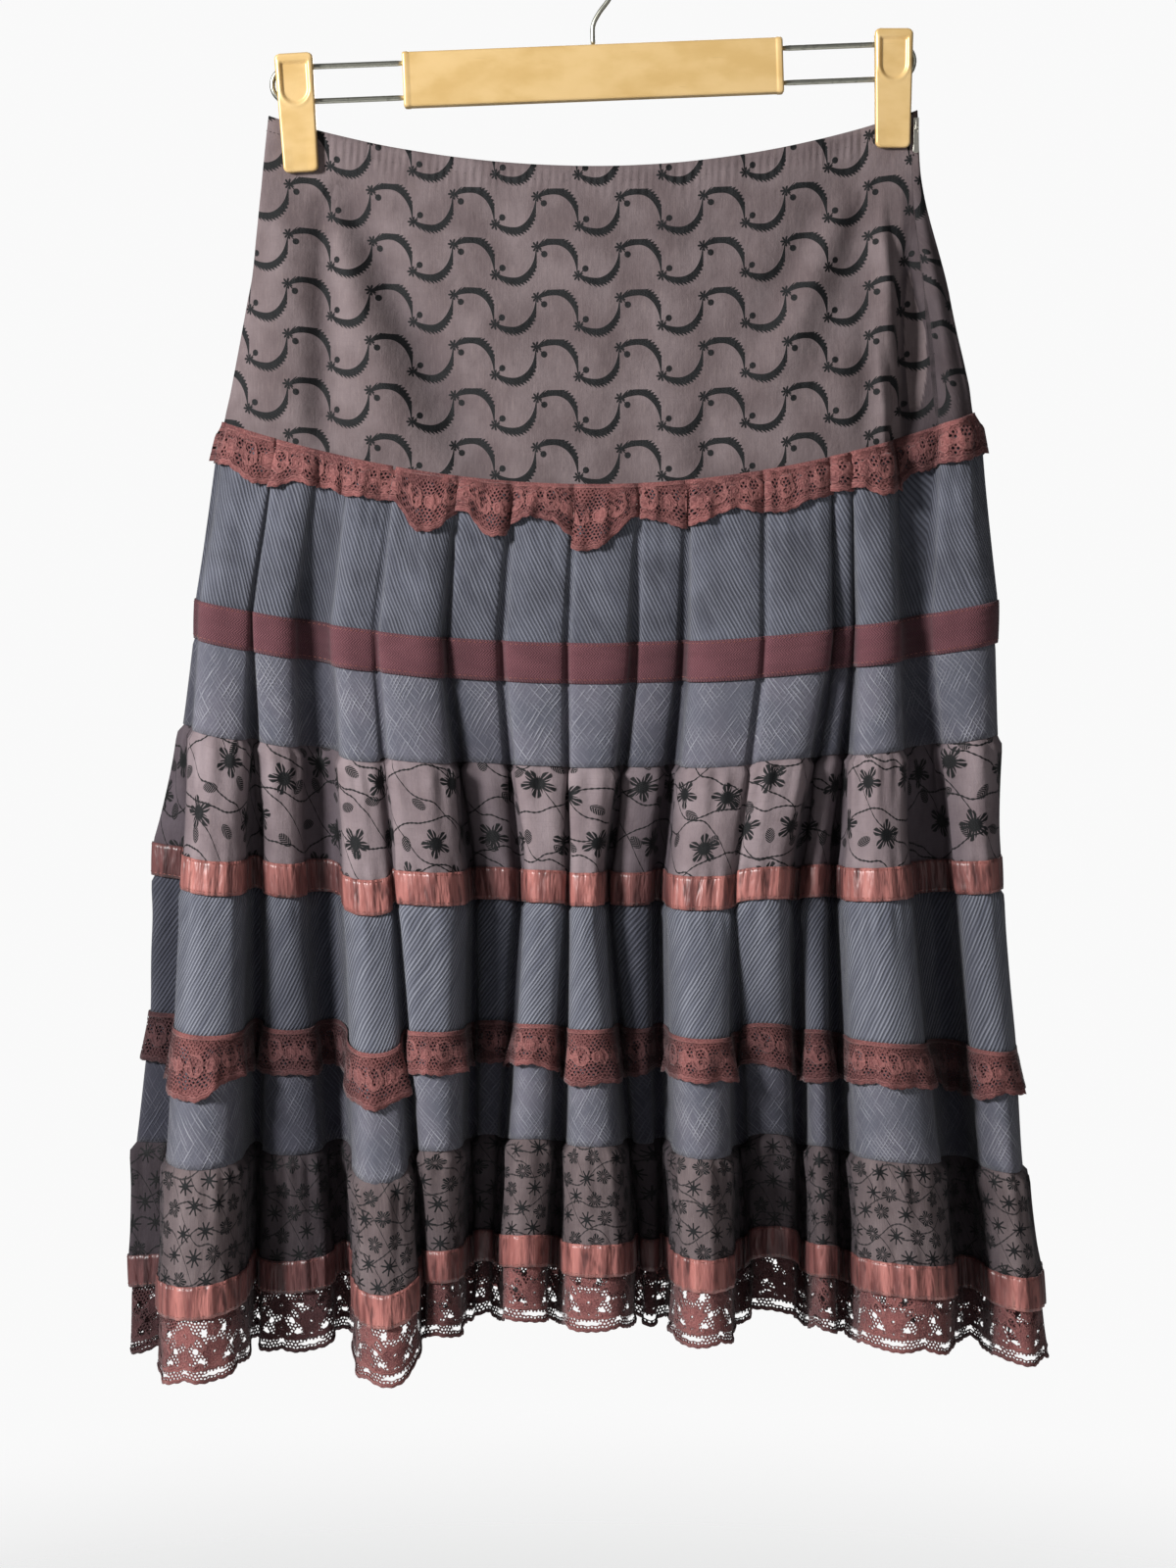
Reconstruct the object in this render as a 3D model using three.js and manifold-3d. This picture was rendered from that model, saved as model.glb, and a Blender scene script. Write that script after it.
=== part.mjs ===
// Tiered ruffle skirt held by a clip hanger. Millimetres, +Z up, the skirt's front towards -Y.
// The origin is the top of the inside of the hook, where a rail holds the hanger.
import * as THREE from "three";
import Module from "manifold-3d";
import { mergeVertices } from "three/addons/utils/BufferGeometryUtils.js";

const wasm = await Module();
wasm.setup();

const { PI, abs, cos, max, min, sin } = Math;
const lerp = (a, b, t) => a + (b - a) * t;
const clamp01 = (t) => min(1, max(0, t));
const smooth = (t) => clamp01(t) ** 2 * (3 - 2 * clamp01(t));

// Cloth thicknesses and the gaps that keep neighbouring pieces apart
const WALL = 1.3;
const TRIM_WALL = 1.0;
const SEAM_GAP = 0.3;
const LAY_GAP = 0.35;
const CASING_EXTRA = 0.7;
const HALF_SEAM = SEAM_GAP / 2;

// The two layers lie this far from the middle plane where a clip presses them together
const PINCH = WALL + HALF_SEAM + 0.15;
const CLIP_INNER_X = 147;

// One row for each seam or trim edge, from the waist down: height at the left edge, the centre and the right
// edge, then x of the left edge, the zip seam and the right edge
const LEVELS = {
  waist: { left: -107, centre: -135, right: -104, xLeft: -178, xSeam: 176, xRight: 178 },
  casing: { left: -115, centre: -143, right: -112, xLeft: -179, xSeam: 176, xRight: 178.5 },
  clipEnd: { left: -141, centre: -168, right: -137, xLeft: -182, xSeam: 175.5, xRight: 180 },
  midYoke: { left: -205, centre: -236, right: -200, xLeft: -190, xSeam: 183, xRight: 196 },
  hip: { left: -276, centre: -310, right: -271, xLeft: -205, xSeam: 191, xRight: 211 },
  tapeTop: { left: -371, centre: -395, right: -372, xLeft: -221, xSeam: 181, xRight: 225 },
  tapeEnd: { left: -392, centre: -417, right: -395, xLeft: -222, xSeam: 182, xRight: 225 },
  seamTwo: { left: -441, centre: -464, right: -447, xLeft: -229, xSeam: 189, xRight: 227 },
  ribbonTop: { left: -508, centre: -522, right: -515, xLeft: -246, xSeam: 193, xRight: 228 },
  ribbonEnd: { left: -526, centre: -540, right: -533, xLeft: -247, xSeam: 194, xRight: 229 },
  seamThree: { left: -607, centre: -612, right: -626, xLeft: -251, xSeam: 203, xRight: 239 },
  seamFour: { left: -680, centre: -676, right: -691, xLeft: -260, xSeam: 208, xRight: 243 },
  hemRibbonTop: { left: -746, centre: -731, right: -750, xLeft: -264, xSeam: 214, xRight: 254 },
  hemRibbonEnd: { left: -764, centre: -749, right: -769, xLeft: -264, xSeam: 215, xRight: 256 },
  hem: { left: -803, centre: -780, right: -800, xLeft: -265, xSeam: 216, xRight: 259 },
};

// Shape of the hip form in plan, and the step beside the zip: where it starts before the fold, and its width
const HIP_FLATNESS = 2.6;
const HIP_ROUNDNESS = 0.45;
const RECESS_START = 4;
const RECESS_WIDTH = 6;
const SIDE_SWELL = 4;

// How far the yoke bows forward and back, how much the clips pinch it, and the recess at the zip seam:
// x of the fold beside it and the depth y of the seam
const YOKE_FORM = {
  waist: { front: 8, back: 9, pinch: 1, xFold: 168, seamY: -PINCH },
  casing: { front: 8.5, back: 9.5, pinch: 1, xFold: 168, seamY: -PINCH },
  clipEnd: { front: 11, back: 12, pinch: 1, xFold: 168, seamY: -PINCH },
  midYoke: { front: 18, back: 20, pinch: 0, xFold: 167, seamY: -3.5 },
  hip: { front: 24, back: 27, pinch: 0, xFold: 164, seamY: -6 },
};

// The heights at which the fold tables below hold, and the rows that they share
const FOLD_KEYS = [
  { column: "tape", centre: -406 },
  { column: "ribbon", centre: -531 },
  { column: "hem", centre: -740 },
];

// One row for each hanging fold of the front, left to right. Columns at the twill tape, the upper ribbon
// and the lower ribbon: left edge, right edge, y of the crest, y of the gap to its right; then the drop
// at the hem
const FRONT_FOLDS = [
  { tape: [-217, -190, -24, -19], ribbon: [-227, -194, -40, -12], hem: [-243, -195, -62, -6], drop: 6 },
  { tape: [-187, -165, -23, -9], ribbon: [-182, -162, -25, -6], hem: [-188, -148, -24, -6], drop: 6 },
  { tape: [-144, -122, -24, -22], ribbon: [-138, -113, -38, -30], hem: [-133, -98, -64, -34], drop: 18 },
  { tape: [-117, -84, -31, -18], ribbon: [-107, -71, -45, -10], hem: [-92, -74, -48, -7], drop: -2 },
  { tape: [-79, -54, -21, -16], ribbon: [-63, -44, -20, -12], hem: [-66, -58, -15, -7], drop: -5 },
  { tape: [-48, -17, -23, -18], ribbon: [-36, -17, -35, -26], hem: [-51, -27, -37, -12], drop: -7 },
  { tape: [-12, 20, -23, -13], ribbon: [-11, 4, -36, -11], hem: [-16, 22, -45, -7], drop: -3 },
  { tape: [26, 47, -16, -11], ribbon: [11, 31, -22, -7], hem: [29, 36, -14, -6], drop: 2 },
  { tape: [54, 92, -29, -25], ribbon: [42, 74, -46, -38], hem: [45, 78, -62, -9], drop: 0 },
  { tape: [97, 131, -29, -14], ribbon: [80, 107, -43, -17], hem: [90, 115, -24, -7], drop: -12 },
  { tape: [135, 143, -16, -12], ribbon: [117, 129, -25, -9], hem: [123, 136, -41, -20], drop: -7 },
  { tape: [147, 169, -26, -9], ribbon: [139, 175, -45, -6], hem: [148, 202, -61, -6], drop: -5 },
];

// The fold between the zip seam and the right edge, with the same columns
const SIDE_FOLD = { tape: [188, 222, -17, 0], ribbon: [203, 226, -24, 0], hem: [224, 256, -41, 0], drop: 0 };

// The folds of the back, from the right edge to the left one: right edge, left edge, crest, gap to its left
const BACK_FOLDS = [
  { tape: [213, 180, 24, 17], ribbon: [214, 178, 36, 14], hem: [240, 196, 52, 10], drop: 2 },
  { tape: [168, 131, 28, 18], ribbon: [164, 127, 42, 13], hem: [180, 138, 60, 9], drop: 5 },
  { tape: [119, 86, 26, 17], ribbon: [113, 84, 34, 12], hem: [122, 92, 40, 9], drop: -4 },
  { tape: [75, 33, 30, 20], ribbon: [70, 27, 46, 15], hem: [77, 24, 64, 11], drop: 4 },
  { tape: [22, -17, 27, 18], ribbon: [14, -23, 37, 12], hem: [9, -32, 47, 9], drop: -3 },
  { tape: [-28, -66, 29, 19], ribbon: [-36, -70, 43, 14], hem: [-46, -82, 58, 10], drop: 1 },
  { tape: [-77, -118, 30, 18], ribbon: [-84, -131, 45, 13], hem: [-97, -150, 65, 9], drop: 6 },
  { tape: [-130, -160, 26, 17], ribbon: [-145, -175, 35, 12], hem: [-165, -199, 44, 9], drop: -4 },
  { tape: [-171, -207, 25, 14], ribbon: [-189, -230, 38, 9], hem: [-214, -249, 55, 8], drop: 3 },
];

// Where a fold's flank is cut, from its crest at 0 to its gap at 1: few cuts on flat bands and low folds
const FLAT_STEPS = [0, 0.5];
const FULL_STEPS = [0, 0.35, 0.65];
const STEEP_FALL = 22;
const EDGE_GAP_REACH = 3;
const HIP_RIPPLE = 1.2;
const GATHER = 0.6;

// The extra drops of the upper lace, as it bunches along the yoke seam
const UPPER_LACE_DROPS = [
  { x: -178, half: 16, drop: 4 },
  { x: -90, half: 15, drop: 13 },
  { x: -52, half: 14, drop: 12 },
  { x: 0, half: 20, drop: 17 },
  { x: 52, half: 20, drop: 6 },
  { x: 103, half: 18, drop: 3 },
  { x: 160, half: 14, drop: 6 },
];
const UPPER_LACE_DEPTH = 15;
const LOWER_LACE_DEPTH = 20;
const LACE_SCALLOP = 4;
const LACE_FLARE = 2.2;
const HEM_SCALLOP = 3;
const SLIT_TOP = 9.5;
const SLIT_BOTTOM = 5;

// Height of a point of a level, from the sag between its two edges
function heightAt(level, x) {
  const edge = x < 0 ? level.left : level.right;
  const reach = x < 0 ? level.xLeft : level.xRight;
  return lerp(level.centre, edge, min(1, (x / reach) ** 2));
}

// Depth of the smooth hip form at x, on the front or the back
function hipDepth(name, x, front) {
  const level = LEVELS[name];
  const form = YOKE_FORM[name];
  const bow = front ? form.front : form.back;
  const middle = (level.xLeft + level.xRight) / 2;
  const across = min(1, abs((x - middle) / (level.xRight - middle)));
  const open = bow * (1 - across ** HIP_FLATNESS) ** HIP_ROUNDNESS;
  const pressed = PINCH + bow * max(0, 1 - (x / CLIP_INNER_X) ** 2);
  const out = form.pinch ? pressed : open;
  if (!front) return out;
  const recess = smooth((x - form.xFold + RECESS_START) / RECESS_WIDTH);
  return lerp(-out, form.seamY, recess);
}

// Fold rows at one height, between the two keys that hold it
function foldsAt(rows, centre) {
  const last = FOLD_KEYS.length - 1;
  let k = 0;
  while (k < last - 1 && centre < FOLD_KEYS[k + 1].centre) k += 1;
  const [a, b] = [FOLD_KEYS[k], FOLD_KEYS[k + 1]];
  const t = clamp01((centre - a.centre) / (b.centre - a.centre));
  const top = FOLD_KEYS[0].centre;
  const fall = clamp01((centre - top) / (FOLD_KEYS[last].centre - top));
  return rows.map((row) => {
    const [start, end, crest, gap] = row[a.column].map((v, i) => lerp(v, row[b.column][i], t));
    return { start, end, crest, gap, drop: row.drop * fall };
  });
}

// Moves a fold edge of the tape's level to where it starts under the yoke
function underYoke(x) {
  const [from, to] = [LEVELS.tapeTop, LEVELS.hip];
  const flank = FRONT_FOLDS[FRONT_FOLDS.length - 1].tape[1];
  const anchors = [
    [from.xLeft, to.xLeft],
    [flank, YOKE_FORM.hip.xFold],
    [from.xSeam, to.xSeam],
    [from.xRight, to.xRight],
  ];
  const i = x < flank ? 0 : x < from.xSeam ? 1 : 2;
  const [a, b] = [anchors[i], anchors[i + 1]];
  return lerp(a[1], b[1], (x - a[0]) / (b[0] - a[0]));
}

// Knots of a level's ring, in order round the skirt: each crest or gap, with the flank that follows it
function ringKnots(name) {
  const level = LEVELS[name];
  const isHip = name === "hip";
  const centre = isHip ? FOLD_KEYS[0].centre : level.centre;
  const place = isHip ? underYoke : (x) => x;
  const backPlace = isHip ? (x) => lerp(level.xLeft, level.xRight, (x - LEVELS.tapeTop.xLeft) /
    (LEVELS.tapeTop.xRight - LEVELS.tapeTop.xLeft)) : (x) => x;
  const front = foldsAt(FRONT_FOLDS, centre);
  const [side] = foldsAt([SIDE_FOLD], centre);
  const back = foldsAt(BACK_FOLDS, centre);
  const knots = [{ kind: "edge", x: level.xLeft, y: 0, drop: 0 }];
  const firstGap = front[0].gap * 0.6;
  knots.push({ kind: "gap", x: place(front[0].start - EDGE_GAP_REACH), y: firstGap, drop: 0 });
  front.forEach((fold, i) => {
    const next = front[i + 1];
    const gapX = next ? (fold.end + next.start) / 2 : LEVELS[isHip ? "tapeTop" : name].xSeam;
    knots.push({ kind: "crest", x: place((fold.start + fold.end) / 2), y: fold.crest, drop: fold.drop,
      before: place(fold.start), after: place(fold.end) });
    knots.push({ kind: "gap", x: place(gapX), y: fold.gap, drop: 0, seam: !next });
  });
  knots.push({ kind: "crest", x: place((side.start + side.end) / 2), y: side.crest, drop: side.drop,
    before: place(side.start), after: level.xRight });
  knots.push({ kind: "edge", x: level.xRight, y: 0, drop: 0 });
  const firstBack = back[0].start + EDGE_GAP_REACH;
  knots.push({ kind: "gap", x: backPlace(firstBack), y: back[0].gap * 0.7, drop: 0, back: true });
  back.forEach((fold, i) => {
    const next = back[i + 1];
    const gapX = next ? (fold.end + next.start) / 2 : fold.end - EDGE_GAP_REACH;
    knots.push({ kind: "crest", x: backPlace((fold.start + fold.end) / 2), y: fold.crest, drop: fold.drop,
      before: backPlace(fold.start), after: backPlace(fold.end), back: true });
    knots.push({ kind: "gap", x: backPlace(gapX), y: fold.gap, drop: 0, back: true });
  });
  knots.push({ kind: "edge", x: level.xLeft, y: 0, drop: 0, back: true });
  return knots;
}

// A point between two knots: round crests and gaps with an upright flank, and round ends at the side edges
function between(a, b, t) {
  const turn = (1 - cos(PI * t)) / 2;
  const drop = lerp(a.drop, b.drop, turn);
  if (a.kind === "edge") {
    return { x: lerp(a.x, b.x, 1 - cos(PI * t / 2)), y: lerp(a.y, b.y, sin(PI * t / 2)), drop };
  }
  if (b.kind === "edge") {
    return { x: lerp(a.x, b.x, sin(PI * t / 2)), y: lerp(a.y, b.y, 1 - cos(PI * t / 2)), drop };
  }
  const flank = a.kind === "crest" ? a.after : b.before;
  const x = t < 0.5 ? lerp(a.x, flank, sin(PI * t)) : lerp(flank, b.x, 1 - sin(PI * t));
  return { x, y: lerp(a.y, b.y, turn), drop };
}

// The flanks that fall far enough, at the upper ribbon or at the hem, to need the full cuts
const falls = (knots) => knots.map((knot, i) => abs(knot.y - (knots[i + 1] ?? knot).y));
const RIBBON_FALLS = falls(ringKnots("ribbonTop"));
const STEEP = falls(ringKnots("hem")).map((fall, i) => max(fall, RIBBON_FALLS[i]) > STEEP_FALL);

// The ring of points of a level, with its outward normals in plan
function foldRing(name, full) {
  const knots = ringKnots(name);
  const points = [];
  for (let i = 0; i < knots.length - 1; i += 1) {
    const [a, b] = [knots[i], knots[i + 1]];
    for (const t of full && STEEP[i] ? FULL_STEPS : FLAT_STEPS) {
      const p = between(a, b, t);
      if (name === "hip") {
        const sign = a.back ? 1 : -1;
        const ripple = (a.kind === "crest" ? 1 : -1) * cos(PI * t) * HIP_RIPPLE;
        const isEdge = a.kind === "edge" && t === 0;
        if (!isEdge) p.y = hipRingDepth(p.x, a, b) + sign * ripple;
      }
      points.push({ x: p.x, y: p.y, z: heightAt(LEVELS[name], p.x) - p.drop, seam: t === 0 && a.seam });
    }
  }
  return withNormals(points);
}

// Depth of the hip ring at x, which follows the yoke's lower edge
function hipRingDepth(x, a, b) {
  const { xSeam, xRight } = LEVELS.hip;
  if (a.back || b.back) return hipDepth("hip", x, false);
  if (x <= xSeam + 0.01) return hipDepth("hip", x, true);
  return sideBulge("hip", (x - xSeam) / (xRight - xSeam));
}

// Depth of the strip between the zip seam and the right edge
function sideBulge(name, t) {
  const { seamY, pinch } = YOKE_FORM[name];
  const swell = pinch ? 0 : SIDE_SWELL;
  return (seamY - swell * sin(PI * min(1, t * 1.2))) * (1 - t ** 6) ** 0.5;
}

// Adds the outward plan normal at each point of a closed ring
function withNormals(points) {
  const n = points.length;
  return points.map((p, i) => {
    const a = points[(i + n - 1) % n];
    const b = points[(i + 1) % n];
    const length = Math.hypot(b.x - a.x, b.y - a.y);
    return { ...p, nx: (b.y - a.y) / length, ny: -(b.x - a.x) / length };
  });
}

// Two rings mixed column by column, by a share that may differ from column to column
function mixRings(a, b, shareAt) {
  return withNormals(a.map((p, i) => {
    const t = shareAt(p, i);
    return { x: lerp(p.x, b[i].x, t), y: lerp(p.y, b[i].y, t), z: lerp(p.z, b[i].z, t), seam: p.seam };
  }));
}

// Every second column stands proud by the given amount, as small gathers do
function gathered(ring, depth) {
  return ring.map((p, i) => (i % 2 === 0 ? p : { ...p, x: p.x + p.nx * depth, y: p.y + p.ny * depth }));
}

// The ring of the yoke at one level, with the recess beside the zip seam
function yokeRing(name) {
  const level = LEVELS[name];
  const form = YOKE_FORM[name];
  const points = [{ x: level.xLeft, y: 0 }];
  const frontColumns = 16;
  for (let i = 1; i <= frontColumns; i += 1) {
    const x = lerp(level.xLeft, form.xFold - 2, (1 - cos(PI * i / frontColumns)) / 2);
    points.push({ x, y: hipDepth(name, x, true) });
  }
  for (const x of [form.xFold + 0.5, (form.xFold + level.xSeam) / 2]) {
    points.push({ x, y: hipDepth(name, x, true) });
  }
  points.push({ x: level.xSeam, y: form.seamY, seam: true });
  for (const t of [0.35, 0.85]) {
    points.push({ x: lerp(level.xSeam, level.xRight, t), y: sideBulge(name, t) });
  }
  points.push({ x: level.xRight, y: 0 });
  const backColumns = 16;
  for (let i = 1; i < backColumns; i += 1) {
    const x = lerp(level.xRight, level.xLeft, (1 - cos(PI * i / backColumns)) / 2);
    points.push({ x, y: hipDepth(name, x, false) });
  }
  return withNormals(points.map((p) => ({ ...p, z: heightAt(level, p.x) })));
}

// The front or back columns of a ring, drawn in a little at both seams
function half(ring, front) {
  const seam = ring.findIndex((p) => p.seam);
  const cut = front ? ring.slice(0, seam + 1) : [...ring.slice(seam), ring[0]];
  return cut.map((p, i) => {
    const end = i === 0 ? 1 : i === cut.length - 1 ? -1 : 0;
    return { ...p, x: p.x - p.ny * HALF_SEAM * end, y: p.y + p.nx * HALF_SEAM * end };
  });
}

// A closed wall through rows of columns. Each row gives its ring and thickness, and may give an outward
// offset and a drop, each by column. Cells for which isOpen is true are cut through.
function wallGeometry(rows, front, isOpen = () => false) {
  const outer = [];
  const inner = [];
  for (const { ring, wallAt, offsetAt = () => 0, dropAt = () => 0 } of rows) {
    const columns = half(ring, front);
    const lift = (p, i, out) => [p.x + p.nx * out, p.y + p.ny * out, p.z - dropAt(p, i)];
    outer.push(columns.map((p, i) => lift(p, i, offsetAt(p, i))));
    inner.push(columns.map((p, i) => lift(p, i, offsetAt(p, i) - wallAt(p, i))));
  }
  const positions = [];
  const triangle = (a, b, c) => positions.push(...a, ...b, ...c);
  const quad = (a, b, c, d) => {
    triangle(a, b, c);
    triangle(a, c, d);
  };
  const lastRow = rows.length - 1;
  const lastColumn = outer[0].length - 1;
  const open = (r, c) => r >= 0 && c >= 0 && r < lastRow && c < lastColumn && isOpen(r, c);
  for (let r = 0; r < lastRow; r += 1) {
    for (let c = 0; c < lastColumn; c += 1) {
      if (open(r, c)) continue;
      quad(outer[r][c], outer[r + 1][c], outer[r + 1][c + 1], outer[r][c + 1]);
      quad(inner[r][c], inner[r][c + 1], inner[r + 1][c + 1], inner[r + 1][c]);
      if (r === 0 || open(r - 1, c)) quad(outer[r][c], outer[r][c + 1], inner[r][c + 1], inner[r][c]);
      if (r === lastRow - 1 || open(r + 1, c)) {
        quad(outer[r + 1][c], inner[r + 1][c], inner[r + 1][c + 1], outer[r + 1][c + 1]);
      }
      if (c === 0 || open(r, c - 1)) quad(outer[r][c], inner[r][c], inner[r + 1][c], outer[r + 1][c]);
      if (c === lastColumn - 1 || open(r, c + 1)) {
        quad(outer[r][c + 1], outer[r + 1][c + 1], inner[r + 1][c + 1], inner[r][c + 1]);
      }
    }
  }
  const geometry = new THREE.BufferGeometry();
  geometry.setAttribute("position", new THREE.Float32BufferAttribute(positions, 3));
  geometry.computeVertexNormals();
  return geometry;
}

const finish = (color, roughness, metalness = 0) =>
  new THREE.MeshStandardMaterial({ color, roughness, metalness });
const FINISHES = {
  taupeCotton: finish("#6b5a58", 0.9),
  slateCrinkle: finish("#4a4f5c", 0.92),
  slateHatch: finish("#4f5461", 0.92),
  lace: finish("#6a3531", 0.85),
  twill: finish("#542b2d", 0.85),
  satin: finish("#8a4a3e", 0.35),
  gildedPlastic: finish("#d8ab6b", 0.45),
  wire: finish("#b9b6ab", 0.3, 0.9),
  zipMetal: finish("#b8b2a6", 0.35, 0.9),
};

const model = new THREE.Group();

function addMesh(parent, name, geometry, material) {
  const mesh = new THREE.Mesh(geometry, material);
  mesh.name = name;
  parent.add(mesh);
  return mesh;
}

// The front and back nodes of one cloth piece
function addCloth(name, material, rows, isOpen) {
  addMesh(model, `${name}_front`, wallGeometry(rows, true, isOpen), material);
  addMesh(model, `${name}_back`, wallGeometry(rows, false, isOpen), material);
}

const below = () => SEAM_GAP;
const wall = () => WALL;
const trimWall = () => TRIM_WALL;
const trimOffset = () => LAY_GAP + TRIM_WALL;
const flatRing = (name) => foldRing(name, false);
const fullRing = (name) => foldRing(name, true);
const gatheredRing = (name) => gathered(fullRing(name), GATHER);
const spanOf = (top, end) => LEVELS[top].centre - LEVELS[end].centre;

// A trim that lies on the panel through the same two rings
function trimRows(top, end) {
  return [top, end].map((ring) => ({ ring, offsetAt: trimOffset, wallAt: trimWall }));
}

// A ruffled lace sewn on at the first ring, with its free edge part of the way down to the second one
function laceRows(top, next, span, depthAt) {
  const flare = (p, i) => trimOffset() + LACE_FLARE * (i % 2 ? 1 : 0.6);
  return [
    { ring: top, offsetAt: trimOffset, wallAt: trimWall, dropAt: below },
    { ring: mixRings(top, next, (p, i) => depthAt(p, i) / span), offsetAt: flare, wallAt: trimWall },
  ];
}

function addYoke() {
  // The casing's turned-in layer lies inside, clear of the clips
  const casingWall = (p) => WALL + (abs(p.x) < CLIP_INNER_X - 10 ? CASING_EXTRA : 0);
  const casing = yokeRing("casing");
  const clipEnd = yokeRing("clipEnd");
  addCloth("yoke", FINISHES.taupeCotton, [
    { ring: yokeRing("waist"), wallAt: casingWall },
    { ring: casing, wallAt: casingWall },
    { ring: mixRings(casing, clipEnd, () => 1 / spanOf("casing", "clipEnd")), wallAt: wall },
    { ring: clipEnd, wallAt: wall },
    { ring: yokeRing("midYoke"), wallAt: wall },
    { ring: yokeRing("hip"), wallAt: wall },
  ]);
}

// Depth of the upper lace: even scallops, and longer drops where it bunches, mostly on the front
function upperLaceDepth(p, i) {
  const bunch = UPPER_LACE_DROPS.reduce((sum, row) => {
    const near = clamp01(1 - abs(p.x - row.x) / row.half);
    return sum + row.drop * near * (p.y < 0 ? 1 : 0.5);
  }, 0);
  return UPPER_LACE_DEPTH + bunch + LACE_SCALLOP * (1 - cos(PI * i / 2)) / 2;
}

const lowerLaceDepth = (p, i) => LOWER_LACE_DEPTH + LACE_SCALLOP * (1 + cos(PI * i / 2)) / 2;

function addTopTiers() {
  const [hip, tapeTop, tapeEnd] = ["hip", "tapeTop", "tapeEnd"].map(flatRing);
  addCloth("tier_one", FINISHES.slateCrinkle, [
    { ring: hip, wallAt: wall, dropAt: below },
    { ring: tapeTop, wallAt: wall },
    { ring: tapeEnd, wallAt: wall },
  ]);
  addCloth("twill_tape", FINISHES.twill, trimRows(tapeTop, tapeEnd));
  addCloth("band_one", FINISHES.slateHatch, [
    { ring: fullRing("tapeEnd"), wallAt: wall, dropAt: below },
    { ring: fullRing("seamTwo"), wallAt: wall },
  ]);
  addCloth("upper_lace", FINISHES.lace, laceRows(hip, tapeTop, spanOf("hip", "tapeTop"), upperLaceDepth));
}

function addLowTiers() {
  const [ribbonTop, ribbonEnd] = ["ribbonTop", "ribbonEnd"].map(gatheredRing);
  const [seamThree, seamFour] = ["seamThree", "seamFour"].map(fullRing);
  addCloth("tier_two", FINISHES.taupeCotton, [
    { ring: gatheredRing("seamTwo"), wallAt: wall, dropAt: below },
    { ring: ribbonTop, wallAt: wall },
    { ring: ribbonEnd, wallAt: wall },
  ]);
  addCloth("upper_ribbon", FINISHES.satin, trimRows(ribbonTop, ribbonEnd));
  addCloth("tier_three", FINISHES.slateCrinkle, [
    { ring: ribbonEnd, wallAt: wall, dropAt: below },
    { ring: seamThree, wallAt: wall },
  ]);
  addCloth("band_two", FINISHES.slateHatch, [
    { ring: seamThree, wallAt: wall, dropAt: below },
    { ring: seamFour, wallAt: wall },
  ]);
  const laceSpan = spanOf("seamThree", "seamFour");
  addCloth("lower_lace", FINISHES.lace, laceRows(seamThree, seamFour, laceSpan, lowerLaceDepth));
}

function addHem() {
  const [ribbonTop, ribbonEnd] = ["hemRibbonTop", "hemRibbonEnd"].map(gatheredRing);
  addCloth("tier_four", FINISHES.taupeCotton, [
    { ring: gatheredRing("seamFour"), wallAt: wall, dropAt: below },
    { ring: ribbonTop, wallAt: wall },
    { ring: ribbonEnd, wallAt: wall },
  ]);
  addCloth("lower_ribbon", FINISHES.satin, trimRows(ribbonTop, ribbonEnd));
  const hem = fullRing("hem");
  const above = (height) => mixRings(ribbonEnd, hem, () => 1 - height / spanOf("hemRibbonEnd", "hem"));
  const scallop = (p, i) => (i % 2 ? HEM_SCALLOP : 0);
  const isSlit = (row, column) => row === 1 && column % 2 === 1;
  addCloth("hem_lace", FINISHES.lace, [
    { ring: ribbonEnd, wallAt: trimWall, dropAt: below },
    { ring: above(SLIT_TOP), wallAt: trimWall },
    { ring: above(SLIT_BOTTOM), wallAt: trimWall },
    { ring: hem, wallAt: trimWall, dropAt: scallop },
  ], isSlit);
}

// Hanger sizes: the bar, its tilt, the wire rods, the clips and the hook
const BAR = { width: 208, height: 30, depth: 11, z: -84, corner: 2.5, bevel: 1 };
const HANGER_TILT = -2.2 * PI / 180;
const ROD = { radius: 1.5, spread: 9.3, reach: 166.5, sides: 8, steps: 18 };
const JAW = { top: 21, bottom: 19, height: 64, depth: 4.2, corner: 3, bevel: 0.8, backTrim: 1 };
const JAW_GAP = PINCH + 0.3;
const SPRING_GAP = 0.1;
const THUMB = { width: 15, height: 22, corner: 6.25, bevel: 0.3, fromTop: 5, depth: 1.3 };
const SPRING = { width: 9, height: 13, wall: 0.7 };
const HOOK = { radius: 1.3, bend: 20, sides: 8, steps: 30, from: -42, to: 204, every: 20.5 };
const HOOK_STEM = [[0, -59], [3.2, -52], [9, -44]];

// A part's clearance from its neighbour on the hanger, and the handle length of a round quarter arc
const HANGER_GAP = 0.3;
const QUARTER_ARC = 0.5523;
const CLIPS = [
  { name: "left", x: -161.8, z: -105.8, lean: 3.4 * PI / 180 },
  { name: "right", x: 164.2, z: -92.6, lean: 0 },
];

function roundedShape(width, top, height, corner) {
  const shape = new THREE.Shape();
  const [w, t, h] = [width / 2, top / 2, height / 2];
  shape.moveTo(-w + corner, -h);
  shape.lineTo(w - corner, -h);
  shape.quadraticCurveTo(w, -h, w, -h + corner);
  shape.lineTo(t, h - corner);
  shape.quadraticCurveTo(t, h, t - corner, h);
  shape.lineTo(-t + corner, h);
  shape.quadraticCurveTo(-t, h, -t, h - corner);
  shape.lineTo(-w, -h + corner);
  shape.quadraticCurveTo(-w, -h, -w + corner, -h);
  return shape;
}

// A moulded plate that stands in the XZ plane, from y = 0 towards -Y
function plate(shape, depth, bevel) {
  const geometry = new THREE.ExtrudeGeometry(shape, {
    depth: depth - 2 * bevel,
    bevelEnabled: true,
    bevelThickness: bevel,
    bevelSize: bevel,
    bevelOffset: -bevel,
    bevelSegments: 2,
    curveSegments: 3,
  });
  geometry.translate(0, 0, bevel);
  geometry.rotateX(PI / 2);
  return geometry;
}

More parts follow.
